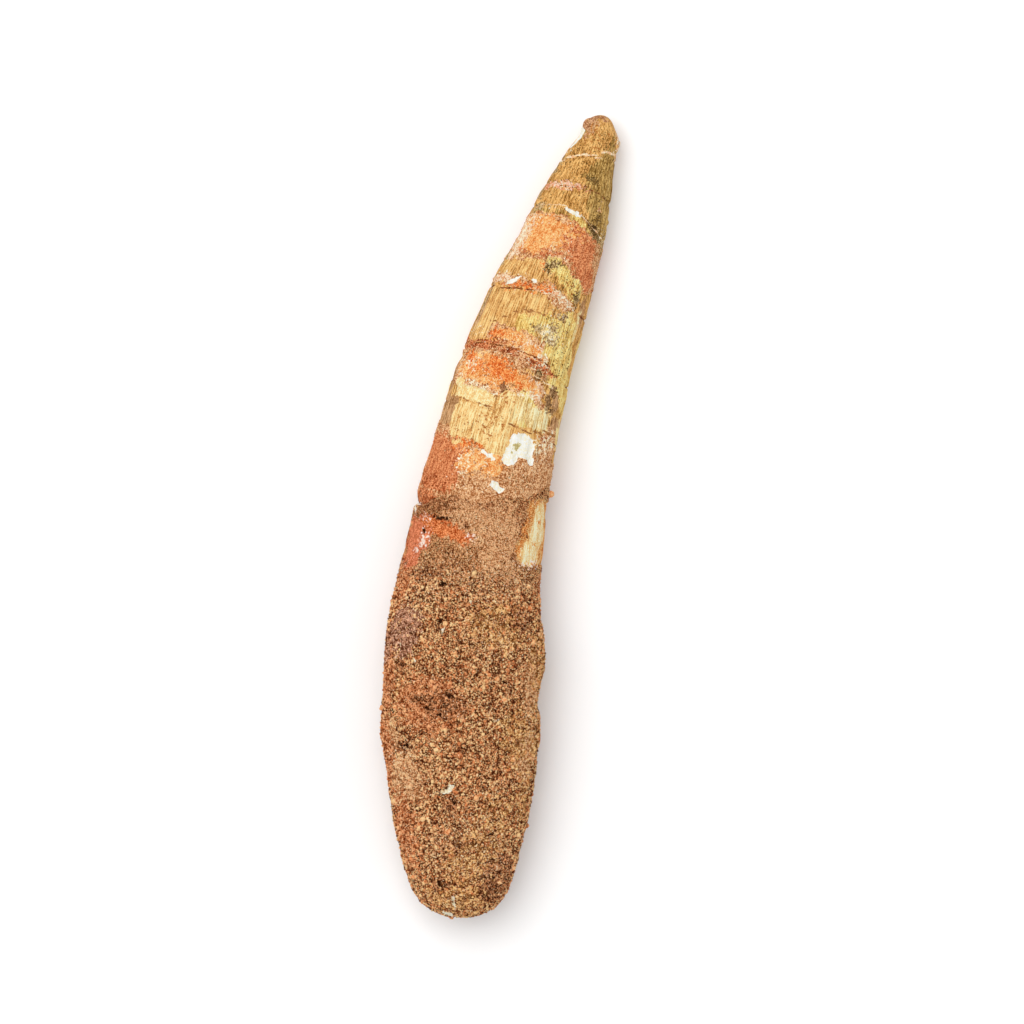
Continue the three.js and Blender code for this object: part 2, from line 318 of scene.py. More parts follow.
def addToScene(name, data):
    added = bpy.data.objects.new(name, data)
    bpy.context.scene.collection.objects.link(added)
    return added


# A mesh of triangles from points in millimetres. Each field is a number, or a vector, at every point, and
# mapPlaces is the place in the piece's own map of every corner of every face.
def makePiece(name, points, faces, mapPlaces, fields, isSmooth):
    mesh = bpy.data.meshes.new(name)
    mesh.from_pydata((points * metresPerMm).tolist(), [], faces.tolist())
    mesh.polygons.foreach_set("use_smooth", np.broadcast_to(isSmooth, len(faces)).tolist())
    mapLayer = mesh.uv_layers.new(name="OFBake")
    mapLayer.data.foreach_set("uv", mapPlaces.astype(np.float32).ravel())
    for field, values in fields.items():
        isVector = values.ndim == 2
        attribute = mesh.attributes.new(field, "FLOAT_VECTOR" if isVector else "FLOAT", "POINT")
        attribute.data.foreach_set("vector" if isVector else "value", values.astype(np.float32).ravel())
    mesh.update()
    return addToScene(name, mesh)


# A grid's field as one list, with the first and the last row's mean for the poles.
def flattened(values):
    rows = values.reshape(-1, values.shape[-1]) if values.ndim == 3 else values.ravel()
    ends = np.stack([values[0].mean(axis=0), values[-1].mean(axis=0)])
    return np.concatenate([rows, ends])


# One closed piece of a skin: two triangles to a cell, and a fan to the pole at either end. Its map lays turn
# across and row up, and its seam is under the tooth. Ends that aren't rounded are cut flat.
def makeDrum(name, points, poles, fields, roundedEnds):
    rows, columns = points.shape[:2]
    corner = np.arange(rows * columns).reshape(rows, columns)
    right = np.roll(corner, -1, axis=1)
    here, there, hereRight, thereRight = corner[:-1], corner[1:], right[:-1], right[1:]
    firstPole = np.full(columns, rows * columns)
    triangles = [
        (here, hereRight, thereRight), (here, thereRight, there),
        (firstPole, right[0], corner[0]), (firstPole + 1, corner[-1], right[-1]),
    ]
    faces = np.concatenate([np.stack(three, axis=-1).reshape(-1, 3) for three in triangles])
    across = np.append(np.tile((np.arange(columns) + 0.5) / (columns + 1), rows), [0.5, 0.5])
    up = np.append(np.repeat((np.arange(rows) + 1) / (rows + 1), columns), [0, 1])
    mapPlaces = np.stack([across[faces], up[faces]], axis=-1)
    # Faces that cross the seam carry on past the last column.
    crosses = np.ptp(mapPlaces[..., 0], axis=1) > 0.6
    low = mapPlaces[..., 0] < 0.3
    mapPlaces[..., 0] += (crosses[:, None] & low) * columns / (columns + 1)
    isSmooth = np.repeat([True, *roundedEnds], [len(faces) - 2 * columns, columns, columns])
    allPoints = np.concatenate([points.reshape(-1, 3), poles])
    allPoints[:, 2] = np.maximum(allPoints[:, 2], 0)
    return makePiece(name, allPoints, faces, mapPlaces, fields, isSmooth)


# A skin from a grid of points, with a row for each ring and a column for each turn, in as many pieces as
# asked, each with its share of the rows. A pole closes each piece at either end: the skin's own, or the
# middle of the ring.
def makeSkin(name, skin, pieces):
    points = skin["points"]
    last = len(points) - 1
    bounds = np.linspace(0, last, pieces + 1).astype(int)
    made = []
    for number, (start, end) in enumerate(zip(bounds[:-1], bounds[1:]), 1):
        rows, isFirst, isLast = slice(start, end + 1), start == 0, end == last
        firstPole = skin["poles"][0] if isFirst else points[start].mean(axis=0)
        lastPole = skin["poles"][1] if isLast else points[end].mean(axis=0)
        fields = {key: flattened(values[rows]) for key, values in skin["fields"].items()}
        poles, rounded = [firstPole, lastPole], (isFirst, isLast)
        made.append(makeDrum(f"{name}{number}", points[rows], poles, fields, rounded))
    return made


# Markings. Each is (along, around, half length, half width), and may go on with a tilt in degrees and with
# corners above 2 for a squarer shape.

markings = {
    # brown olive enamel, and painted shade down the tooth's right side
    "oliveAndSideShade": [
        (13.6, 40, 5, 3.4), (19.4, 50, 4, 3.2), (5.5, 62, 2.4, 1), (22.7, -50, 1, 3.8),
        (23.4, 18, 1.8, 4.4), (13, 66, 7, 4), (21, 70, 4.4, 4), (17, 150, 6, 6), (3, -60, 2, 1.6),
    ],
    # lighter, honey coloured enamel
    "honey": [
        (34.4, -32, 2.6, 6, 0, 4), (42.6, -20, 3.6, 12, 0, 5), (47, -58, 3.6, 6, 0, 4),
        (66, -20, 5, 12, 0, 4), (44.5, 160, 5, 14, 0, 4), (58, 180, 5, 16, 0, 4),
    ],
    # whitish streaks on the enamel
    "frost": [
        (61.4, 20, 3.2, 1.8, 0, 3), (62.6, 34, 2.6, 2.4, 0, 3), (62.6, 44, 2.4, 3), (45.4, 22, 2, 2.4),
    ],
    # yellow enamel
    "yellow": [
        (22.2, 21, 0.6, 1.8), (32, 3, 1.4, 1.6), (33.5, 20, 1.8, 2), (35.2, 38, 2, 2.3),
        (45.1, -5, 1.8, 2.1, 0, 4), (44, 18, 2.2, 2.6), (43.4, 44, 3, 3.2), (48.4, 45, 3.2, 4.2, 0, 4),
        (53.8, 55, 2.8, 3.9, 0, 3), (61.7, 19, 3.3, 2.2, 0, 4), (48, 128, 7, 8, 0, 3),
        (63, -128, 5, 7, 0, 3), (56.5, 76, 4.5, 3),
    ],
    # pale tan enamel
    "tan": [
        (62.2, 3, 3.2, 2.5, 0, 4), (62.6, 38, 2.2, 3.2, 0, 4), (66.8, -30, 3.4, 4.9, -3, 7),
        (67.5, -6, 3.4, 3.6, 0, 5), (70.4, 2, 1.7, 2.2), (71, -37, 0.6, 1.2), (64, 108, 4.6, 6.5, 6, 4),
        (70, 150, 4.5, 6, 0, 3), (56, -160, 5, 7, 0, 4),
    ],
    # brown strips, and painted shade along the tooth's left edge
    "brownAndEdgeShade": [
        (59, -84, 3.6, 3, 0, 3), (66.4, -69, 4.6, 3.4, 0, 5), (56.6, 52, 1.7, 1.8), (58.8, 58, 1.4, 1.4),
        (63.3, 70, 2.4, 2.4), (2.8, -38, 1.7, 1.3), (53.3, 36, 1, 1.4), (39.6, 66, 3, 1.4),
        (44, -76, 6, 1.2), (64.4, 56, 1.6, 1), (70, 46, 2, 2),
    ],
    # soft grey stains, and painted shade darkening the tooth's edges
    "greyStainAndEdgeShade": [
        (13, -80, 3.6, 1.8), (19, -78, 3, 1.8), (22, -66, 1.2, 3), (34, -80, 3, 1.4),
        (41.2, 30, 1.1, 2.2), (45.5, 8, 1, 1.2), (46.3, 24, 0.7, 1.7), (23.4, 52, 1.8, 1.9),
        (44.5, -80, 6, 1), (32.4, 0, 1.3, 1.2), (24.5, 76, 4, 1.4), (53.4, 22, 0.8, 2),
        (44, 26, 1.1, 1.2), (36.8, 47, 1.4, 1.2),
    ],
    # dark grey brown stains
    "smoke": [
        (59.2, 46, 2, 1.3, -24), (54.6, 25, 0.7, 1.5), (56.4, 49, 1.5, 1.3, -20), (41.4, 34, 0.5, 0.9),
        (60.3, 55, 0.8, 0.7), (23.2, 47, 1.4, 1.2),
    ],
    # one dark spot
    "spot": [(58.7, -5, 0.75, 0.7)],
    # short dark strokes along the fibres
    "strokes": [
        (6, -10, 4, 5), (20, 56, 4, 2.4), (16.5, 40, 6, 5), (12, -25, 4, 5), (19, 5, 3, 8), (6, 20, 3, 4),
        (34.6, -30, 2.6, 9), (43.4, -30, 5, 10), (34.2, 28, 2.4, 2.4), (62.2, 0, 2.6, 4),
        (69, -14, 3.6, 7), (64, 110, 6, 8), (46, 150, 6, 12), (60, -150, 8, 12), (14, 170, 8, 10),
    ],
    # purplish tip
    "mauve": [(2.6, -66, 2, 1.7), (0.6, 0, 0.6, 2), (5.2, -34, 1.2, 0.6)],
    # sandstone film, which stands proud of the enamel
    "film": [
        (27.2, 5, 4.9, 25, 0, 6), (32, 50, 3.4, 4.4, -8, 3), (37.4, -22, 0.9, 5.4, 0, 3),
        (36.9, 3, 1.2, 2.8), (37.8, -58, 0.8, 5.4), (38.4, 22, 1.3, 3.4, 0, 3),
        (48.4, -27, 1.9, 3.3, 15, 3), (48.7, -2, 1.8, 2.4), (49.7, 15, 2.6, 2.6, 0, 3),
        (51.8, -30, 1.2, 14, 0, 5), (52.6, 18, 1.6, 4, 0, 3), (56.6, -36, 4.3, 8.4, 0, 5),
        (56.8, 14, 2.3, 4.2, 0, 3), (60, 31, 1.4, 2), (77.6, 0, 8.4, 60, 0, 8), (67.6, 62, 4.4, 3.4),
        (44, 168, 6.5, 7.5), (30, 186, 3.2, 3.6), (74.5, 165, 5, 9.5),
    ],
    # pale peach wash
    "peach": [
        (26, -60, 1.9, 4, 0, 3), (29.2, -62, 2.8, 3.4, 0, 3), (32.4, -68, 1.4, 3), (38, -60, 0.8, 3.4),
        (57.6, -62, 1.6, 1.4), (57.2, 22, 2.2, 3), (50.2, 18, 2.4, 1.8), (18, 47, 0.5, 0.5),
        (24.8, -40, 0.7, 5), (37.6, 20, 0.8, 3.2), (38.4, 36, 0.9, 2), (49, 3, 1.2, 2.4),
        (4.4, 84, 2.2, 1), (7.4, 84, 1, 0.8),
    ],
    # bright rust
    "rust": [
        (54.7, -19, 2.1, 2.6, 0, 3), (56.4, -6, 1.6, 2.2), (38, -24, 0.8, 4.4), (37, 4, 0.9, 2),
        (48.6, -33, 1.4, 1.6, 25), (32.9, -7, 0.8, 0.7), (56, -44, 1.4, 2.4), (71.3, -30, 1, 2.4),
        (76, 172, 3, 4), (57.2, 8, 0.9, 1.8), (54.6, -56, 1.4, 1.8), (70.9, -12, 0.6, 2),
    ],
    # light orange sand
    "orange": [
        (26.8, -20, 2.9, 4.4), (29.4, -36, 2.2, 3), (24.3, -20, 1.6, 6, 0, 3), (24.6, 6, 1, 3),
        (50.2, 12, 2.2, 2.4), (48.7, -6, 1.7, 2.8), (56.8, 12, 2, 3.6), (73.8, -3, 2.2, 3.8),
        (74.4, -20, 2.4, 2.6), (57.6, -22, 2, 5), (56.6, -60, 1.8, 2.2), (48.6, -22, 1.5, 2.8),
        (45, 168, 3, 3), (57, -48, 2.6, 4), (54, -36, 1.6, 3), (56, 8, 1.5, 2.4, 0, 3), (72.2, 0, 1.4, 3),
    ],
    # brick red sand
    "brick": [
        (75.6, -52, 5.4, 6.6, 0, 3), (72.6, -78, 2.4, 4), (27, 30, 3.9, 4.4, 0, 3), (32, 50, 3, 3.8),
        (73, 125, 4, 6), (27, 150, 4, 8), (29.8, -52, 1.8, 2.8), (30.4, -22, 1.2, 4),
    ],
    # dark speckled red brown
    "maroon": [
        (51.6, -52, 1.2, 7, 0, 4), (51.2, -12, 0.9, 2.8), (52.2, 20, 1.2, 3.4, -8), (53, 38, 0.9, 2),
        (51.6, -92, 1.2, 5), (79.6, -60, 1.6, 5.6), (66, 50, 0.7, 2.4), (83, -70, 2, 8),
    ],
    # cream and pale speckles
    "cream": [(61.5, -36, 1.55, 4.7, 2, 8), (59.6, -58, 1, 1.2), (42, 60, 3, 0.6, 0, 3)],
    # pink speckles across the tip
    "pink": [
        (16.9, -62, 0.9, 2, 0, 3), (16.2, -42, 0.8, 2.8, 0, 3), (15.8, -22, 0.7, 2.6, 0, 3),
        (15.6, -4, 0.5, 1.8),
    ],
    # half covering pale speckles
    "salt": [
        (24.8, -66, 1, 1.8), (28.6, -62, 2.2, 1.6), (45.2, 20, 1.8, 1.6), (59.6, -34, 1, 4.8, 0, 4),
        (55.6, -50, 1.6, 2.6), (52.4, 20, 0.9, 3, -14), (74.6, -24, 2.6, 1.8), (66.4, 64, 2.8, 2),
        (67.4, 48, 2.8, 2.4), (72.2, -10, 0.6, 1.8), (59.4, 14, 1, 2.8), (58, -60, 1.4, 1.6),
        (16.4, -46, 0.6, 2.6), (15.8, -24, 0.4, 1.8), (21.4, -36, 0.5, 2.4), (9.2, -74, 0.6, 1.4),
        (37.6, 24, 1, 3.2, 14), (39, 38, 1, 2.2), (58.2, 24, 1.2, 1.8), (5, 86, 2.8, 0.8),
        (36.6, -54, 0.5, 2.6), (50.2, 26, 1.6, 1),
    ],
    # sparse pale specks
    "specks": [
        (74.8, -14, 3.4, 5, 0, 3), (70, 54, 4.2, 4.8, 0, 3), (28.5, 4, 3.8, 3), (56.5, -50, 3, 4.4),
        (57.5, -24, 2, 4), (75, 34, 3.4, 3.6), (38.6, 8, 1.5, 7), (49.6, 2, 2.6, 5.6),
        (52.2, -10, 1.2, 10), (33.4, 44, 1.2, 1.4), (78.4, -10, 2, 6), (44, 36, 4, 4), (50, -60, 3, 5),
        (27, 24, 1, 1.6),
    ],
    # green black specks
    "soot": [
        (20.6, 52, 1.4, 1), (13.2, 18, 0.9, 1.2), (13.8, 28, 0.5, 0.8), (17.4, 38, 1, 0.4),
        (19.6, 40, 1.2, 0.4), (21.4, 39, 1.5, 0.5), (22.9, 43, 1, 0.6), (23.4, 50, 1.6, 1.8),
        (22.1, 36, 0.9, 0.8), (32.6, -1, 1.5, 0.7), (31.5, 6, 0.4, 1.6), (36.4, 44, 0.9, 1.2),
        (38.4, 47, 0.9, 0.6), (53.8, 28, 0.4, 1.6), (60.2, 47, 1, 0.4),
    ],
    # sparse dark specks on the enamel
    "pepper": [
        (16.5, 50, 6, 4.4), (34.4, 22, 2.8, 4), (44.8, 30, 3.6, 4.6), (5, 30, 4, 3.6), (60, 60, 2, 1.6),
        (49, 50, 5, 4), (76, 32, 2.4, 4), (12, -10, 8, 8, 0, 3), (14, 14, 2.4, 3), (34.2, 34, 2.4, 3),
        (33.4, 4, 1.8, 2.4),
    ],
    # white chips
    "chalk": [
        (6.3, -77, 1.7, 1.5, 12), (68.9, 27, 2.5, 2.7, 0, 2.4), (71.5, 17, 2, 1.7, 20),
        (70.8, 37, 1.4, 0.7), (72, -7, 0.26, 0.6, -14), (72.2, -1, 0.36, 0.7, -14), (72.8, 3, 0.3, 0.35),
        (37.8, -41, 0.44, 1.6, -27), (36.2, -14, 0.32, 0.55, 8), (20.8, 5, 0.45, 1.5, 0),
        (77.6, 8, 1, 0.7), (78.6, 13, 0.7, 0.9), (43, -150, 1.2, 1.8), (67, 170, 1.6, 2.2),
        (58, 132, 2.4, 2.2),
    ],
    # dull stains on the white chips
    "stain": [(69, 21, 0.8, 0.6), (70.4, 18, 0.45, 0.4), (78.8, 13, 0.3, 0.3)],
    # rust dots on the enamel
    "dots": [
        (66.2, -8, 3.4, 3), (64.5, 112, 3.6, 4), (5, 0, 4, 3.5), (60.5, 0, 2.4, 2), (68, -34, 2.6, 3),
        (34.8, 32, 2.4, 2.4),
    ],
}

# (along, from this turn, to that one, half width)
lines = {
    "paleLines": [
        (9.3, -88, -60, 0.24), (8.6, -62, -34, 0.3), (8.5, -36, -8, 0.26), (8.8, -10, 14, 0.22),
        (9.4, 12, 30, 0.14), (7.9, 26, 80, 0.24), (20.8, -76, -58, 0.1), (20.5, -56, -24, 0.09),
        (20.3, -22, -8, 0.1), (20.5, 16, 36, 0.14), (20.8, 40, 76, 0.14), (23.2, -72, -48, 0.3),
        (22.8, -46, 10, 0.1), (53.7, 20, 46, 0.12),
    ],
    "darkLines": [
        (15.4, 20, 64, 0.07), (38.5, -60, -2, 0.12), (50.4, -80, 34, 0.12), (9, 100, 250, 0.14),
        (20.5, 100, 250, 0.14), (51.5, 70, 280, 0.16), (37.7, 60, 290, 0.16), (65, 70, 280, 0.16),
    ],
    "softLines": [
        (45.2, -50, -32, 0.16), (44.4, -34, -22, 0.16), (43.3, -24, -12, 0.16), (42.4, -14, -4, 0.16),
        (42, -6, 12, 0.16), (63.6, -18, -8, 0.12), (64.4, -10, 2, 0.12), (65, 0, 16, 0.12),
        (65, 14, 34, 0.14), (64.3, 32, 48, 0.18), (63.2, 46, 72, 0.24), (63.4, -66, -36, 0.14),
        (63.1, -38, -12, 0.14), (54.2, 18, 40, 0.1), (57.6, -6, 16, 0.12),
    ],
}


# Every marking's field at these places, as far as the piece has any of it.
def fieldsAt(places, names):
    made = {name: insideOf(markings[name], places) for name in names if name in markings}
    made.update({name: insideLines(lines[name], places) for name in names if name in lines})
    return made


# The turns of a grid's columns, once round from underneath.
def columnTurns(columns):
    return (2 * math.pi * np.arange(columns) / columns - math.pi)[None, :]


# A skin's grid of points with its fields, from the place and the turn of each corner. raisedBy tells how far
# they stand off the plain oval, and may add fields of its own. The poles are on the axis.
def dressedSkin(along, turn, names, raisedBy, ends):
    turn = np.broadcast_to(turn, along.shape)
    places = placesAt(along, turn)
    fields = fieldsAt(places, names)
    points = surfacePoints(along, turn, raisedBy(places, fields))
    fields["fibre"] = fibreAt(along, turn)
    poles = [axisPoint(end) for end in ends]
    return {"along": along, "turn": turn, "points": points, "poles": poles, "fields": fields}


# The crown

crown = {
    "pieces": 2,
    "columns": 396,
    "rows": 497,
    "rowSteps": 4001,  # how finely the rows' spacing is worked out
    "tipCrowding": 3,  # how much closer the rows lie at the tip, and over what length
    "tipReach": 1.2,
    "crackCrowding": 4,  # and at the cracks, and at two of the fine lines
    "crackReach": 0.45,
    "crowdedLines": [42.6, 53.9],
    "flutes": 29,
    "fluteDepth": 0.2,
    "flutesFrom": (3, 14),  # flutes and fibres fade in between these places
    # the fine grooves exist only as painted shade in the enamel's tone
    "shadedStriae": (62, 128),  # two kinds of fine groove, counted once round
    # along, how far it lies under the crust's surface
    "insets": [(69, 0), (77, 0.35), (80, 0.75), (84, 1.2), (92, 4)],
    "plateProud": 0.12,
    "filmProud": 0.16,
    "chipDepth": 0.2,
    # height and size of each kind of unevenness
    "strands": (0.13, 0.4),
    "striaSway": (2.2, 4),
    "filmGrit": (0.12, 0.62),
    "filmLumps": (0.08, 1.5),
    "unevenness": [(0.035, 0.7), (0.05, 2.6)],
    # how far inside its marking's edge, in millimetres, each form starts and ends its rise
    "plateEdge": (-0.15, 0.2),
    "filmEdge": (-0.2, 0.45),
    "chipEdge": (-0.1, 0.3),
    "flakeEdge": (0, 0.5),
    # along, around, half length, half width, depth
    "flakes": [
        (6.4, -76, 1.7, 1.9, 0.14), (57.4, -88, 4, 4.6, 0.2), (61.6, -31, 1.8, 4.6, 0.16),
        (58, 132, 4.5, 4, 0.3), (3.9, -82, 1.4, 1.5, -0.34), (5, 84, 1.7, 1.2, -0.25),
        (20, 88, 0.7, 0.9, -0.45),
    ],
    "roughness": (0.6, 0.95),  # of bare enamel and of the film
    "bump": 0.04,
    # the markings, in the order that they are laid
    "finishes": [
        "honey", "oliveAndSideShade", "brownAndEdgeShade", "mauve", "film", "brick", "peach", "orange", "rust", "yellow", "tan",
        "frost", "strokes", "dots", "greyStainAndEdgeShade", "smoke", "maroon", "cream", "pink", "salt", "specks", "spot",
        "pepper", "soot", "softLines", "darkLines", "paleLines", "chalk", "stain",
    ],
}


# The crown's rows, counted in rings: evenly spaced, and drawn together at each crack and at the tip.
def crownRows():
    fine = np.linspace(0, rings["end"], crown["rowSteps"])
    density = 1 + crown["tipCrowding"] * bell(fine, crown["tipReach"])
    for place in [crack[0] for crack in rings["cracks"]] + crown["crowdedLines"]:
        density += crown["crackCrowding"] * bell(fine - place, crown["crackReach"])
    gathered = np.concatenate([[0], np.cumsum((density[1:] + density[:-1]) / 2)])
    return np.interp(np.linspace(0, gathered[-1], crown["rows"] + 2)[1:-1], gathered, fine)


# How far the crown's surface stands off the plain oval: flutes and fine fibres that run lengthwise, the
# cracks, grit where sandstone clings, plates of enamel a little proud, and chips and flakes sunk in.
def crownRaise(places, fields):
    along, turn, points = places["along"], places["turn"], places["points"]
    fluted = ramp(along, *crown["flutesFrom"])
    flutes = -0.5 * crown["fluteDepth"] * np.cos(crown["flutes"] * turn) * fluted
    strands = layered(fibreAt(along, turn), crown["strands"]) * fluted
    raised = flutes + swellingAt(along, turn) - through(crown["insets"], along)
    for place, _, _, depth in rings["cracks"]:
        raised -= depth * bell(places["crackPlace"] - place, rings["halfWidth"])
    plates = ramp(np.maximum(fields["tan"], fields["yellow"]), *crown["plateEdge"])
    covered = ramp(fields["film"], *crown["filmEdge"]) * (1 - plates)
    gritHeight, gritSize = crown["filmGrit"]
    film = crown["filmProud"] + grit(points, gritSize) * gritHeight + layered(points, crown["filmLumps"])
    raised += covered * film + (1 - covered) * strands
    raised += crown["plateProud"] * plates + layered(points, *crown["unevenness"])
    raised -= crown["chipDepth"] * ramp(fields["chalk"], *crown["chipEdge"])
    for *flake, depth in crown["flakes"]:
        raised -= depth * ramp(insideOf([flake], places), *crown["flakeEdge"])
    fields["sway"] = layered(points, crown["striaSway"])
    return raised


# The crown's grid, whose rows slant and bow as the rings do.
def crownSkin():
    ring, turn = crownRows()[:, None], columnTurns(crown["columns"])
    slant, bow = ringBends(ring)
    along = ring + slant * np.sin(turn) + bow * np.sin(turn) ** 2
    return dressedSkin(along, turn, crown["finishes"], crownRaise, (0, rings["end"]))


# The root's crust

crust = {
    "pieces": 2,
    "columns": 396,
    "rows": 497,
    "end": 164.85,
    "endCrowding": 1.12,  # above 1 it draws the rows together at the end
    "rimAlong": 80.3,
    "rimSlant": -4,
    "rimWaves": [(3, 1.1, 0.7), (7, 0.66, 2.1)],  # how many round the tooth, height, and where they start
    "fineUpTo": (93, 101),  # the crust is fine before the first place and coarse after the second
    # how much of the coarse crust's knobs, painted shade of its relief, grit and grain size the fine crust
    # has
    "fineKnobs": 0.25,
    "fineRelief": 0.3,
    "fineGrit": 0.35,
    "fineGrains": 0.6,
    "lumpsFrom": (84, 100),  # the lumps grow to their full height in between these places
    "chipsFrom": (158, 162),  # only the chips at the root's end are sunk in
    "lipDepth": 1.5,
    "bareDepth": 0.34,
    "pitDepth": 0.75,
    "chipDepth": 1.1,
    # height and size of each kind of unevenness
    "rimFray": (0.35, 1.1),
    "lumps": (0.55, 8),
    "knobs": (0.3, 3.4),
    "ripples": (0.12, 1.6),
    "clumps": (0.2, 1.3),
    "grit": (0.14, 0.55),
    "bareFibres": (0.064, 0.5),
    "reliefStray": (0.25, 0.9),
    # how far inside the rim or a marking's edge each form starts and ends its rise
    "lipEdge": (-0.1, 1.1),
    "bareEdge": (-0.2, 0.3),
    "pitEdge": (-0.2, 0.5),
    "chipEdge": (0, 0.8),
    "reliefRange": (0.2, 0.85),  # the heights of clumps that count as hollow and as top
    "roughness": 0.92,
    "bump": 0.06,
    # the markings, in the order that they are laid
    "finishes": [
        "pale", "ochre", "red", "plum", "darkGritAndRimShade", "glints", "dust", "blush", "patch", "window", "bone", "rind",
        "flecks", "shadedPits", "chips",
    ],
}

markings.update({
    # smoother and paler crust
    "pale": [
        (86, 8, 6, 10, 0, 3), (137.5, -50, 5, 6), (134, -44, 3, 3), (87, 140, 6, 12), (150, -60, 4, 3),
        (92, 26, 4, 6), (118, 62, 8, 4), (132, 60, 7, 4), (128, -66, 4, 4),
    ],
    # yellow brown crust
    "ochre": [
        (112, 72, 8.5, 5), (128, 72, 9, 4.5), (140, 62, 7, 4.5), (153, 15, 7, 7), (160, 0, 5, 9),
        (120.5, -42, 3, 5), (106, 30, 6, 8), (118, 150, 9, 10), (148, -150, 7, 8), (128, 45, 7, 5),
        (145, 30, 6, 4),
    ],
    # red brown crust
    "red": [
        (117, -72, 8, 5), (147, -58, 8, 4.5), (131, -76, 9, 5), (98, -66, 6, 4), (122, -24, 6, 8),
        (105, -130, 10, 8), (135, 170, 9, 9), (98, 95, 6, 5),
    ],
    # purplish crust
    "plum": [
        (108.4, -52, 5.2, 5.8), (111.5, -78, 4, 4), (94, -72, 2.4, 2.4), (77.2, 89, 1.2, 1.4),
        (101, 160, 4, 6),
    ],
    # dark grit, and thin bands of painted shade along the ledge at the crust's rim
    "darkGritAndRimShade": [
        (157, 46, 6, 5), (84, -48, 1.8, 7.4, -10, 3), (83, -78, 2.4, 3.4), (81.8, -8, 1, 9, -4, 4),
        (78.6, 40, 0.8, 7, 0, 4), (122.5, -12, 3.4, 5), (86.5, -30, 0.5, 5.6, -2), (130.6, -50, 1.6, 3.6),
        (141.5, -8, 2.4, 1.8), (149.4, -2, 1.8, 2.6), (158, -24, 1.7, 2.4), (147.4, 23, 0.5, 2.4, 12),
        (97, -36, 1.6, 4.4), (104.8, 48, 3, 3), (128, -140, 4, 6), (110, 120, 4, 5), (121, -30, 1.4, 3),
        (115, -50, 2, 3), (85.4, 42, 4, 1.6), (92, 36, 2, 1.6), (77.8, 62, 0.7, 3),
    ],
    # bright rust
    "patch": [
        (88, -29, 1.4, 3.4, 0, 3), (88.9, -15, 1.5, 2.6, 14), (88.6, -6, 0.6, 1.2),
        (92.5, -178, 2.4, 3.4), (87, -50, 0.9, 2.8),
    ],
    # a smooth pinkish red
    "blush": [(89.6, -55, 3.4, 3.6, 0, 3), (93.6, -60, 2.6, 3), (91, -76, 4.4, 3)],
    # a window on fibrous bone
    "window": [(81.6, 80, 3, 7.6, 0, 4), (85.4, 80, 3.4, 7.2, 0, 4), (90, 72, 2.9, 8.2, 0, 4)],
    # its palest fibres
    "bone": [(81.4, 70, 2.6, 2.3), (86, 65, 3.8, 2.9), (90.2, 56, 2.8, 2.8), (91.9, 56, 0.9, 3.4)],
    # orange brown specks on the bone
    "rind": [
        (79.8, 58, 1, 1.6), (82, 51, 2, 1.2), (84, 80, 1.8, 0.9), (86.2, 46, 2.6, 1.4),
        (88, 84, 3.4, 1.4), (90, 42, 2.2, 1.4), (80, 84, 1.6, 1.2), (83.6, 66, 0.9, 0.6),
        (88.2, 60, 0.8, 0.5),
    ],
    # white flecks
    "flecks": [
        (90.2, -49, 2.4, 2.2), (93, -57, 1.3, 1.6), (85.2, -72, 1.3, 1), (88.7, -3, 0.8, 1.2),
        (92.8, 57, 0.9, 3.4), (86.6, -54, 0.8, 2),
    ],
    # a few pale grains, and painted glints where light catches others
    "glints": [(131, 0, 37, 60, 0, 6)],
    # sparse pale specks
    "dust": [
        (86.6, 6, 4.4, 8, 0, 3), (96, 20, 6, 10), (110, 24, 5, 6), (100, -40, 6, 6), (134, -50, 5, 5),
        (150, 10, 8, 9), (128, 66, 9, 4), (96, -30, 5, 6, 0, 3),
    ],
    # small holes, painted near black for the shade inside them
    "shadedPits": [
        (89, -52, 0.6, 0.8), (106, -18, 0.9, 0.45, 25), (120.6, -9, 0.35, 1.6, 10),
        (124.3, -15, 0.5, 0.5), (117.1, 33, 0.45, 0.5), (130.3, -46, 0.4, 1.2), (157.8, -23, 0.5, 0.4),
        (123, -24, 0.3, 1), (147.5, 24, 0.22, 1.6, 12), (141.4, -6, 0.5, 0.25), (86.3, -34, 0.3, 2.6, -2),
        (98.6, -20, 0.3, 0.8), (112, 52, 0.3, 0.5), (136, 16, 0.3, 0.6),
    ],
    # white chips in the crust
    "chips": [
        (139.1, -11, 0.34, 1.15, -20), (138.6, -7, 0.26, 0.5), (107.6, -15, 0.5, 0.3, 30),
        (163.9, -32, 0.8, 2.2), (161.4, -8, 1.2, 0.3, 12), (85, -74, 0.8, 0.4), (125.5, 27, 0.24, 0.6),
        (113.9, -37, 0.3, 0.3), (110.4, -52, 0.3, 0.3), (102, 4, 0.3, 0.3), (152, 100, 0.6, 1),
    ],
})


# The rim's place along the axis: a slant and two waves of the turn.
def rimPlace(turn):
    waves = sum(height * np.sin(count * turn + start) for count, height, start in crust["rimWaves"])
    return crust["rimAlong"] + crust["rimSlant"] * np.sin(turn) + waves


def mostOf(fields, *names):
    return np.maximum.reduce([fields[name] for name in names])
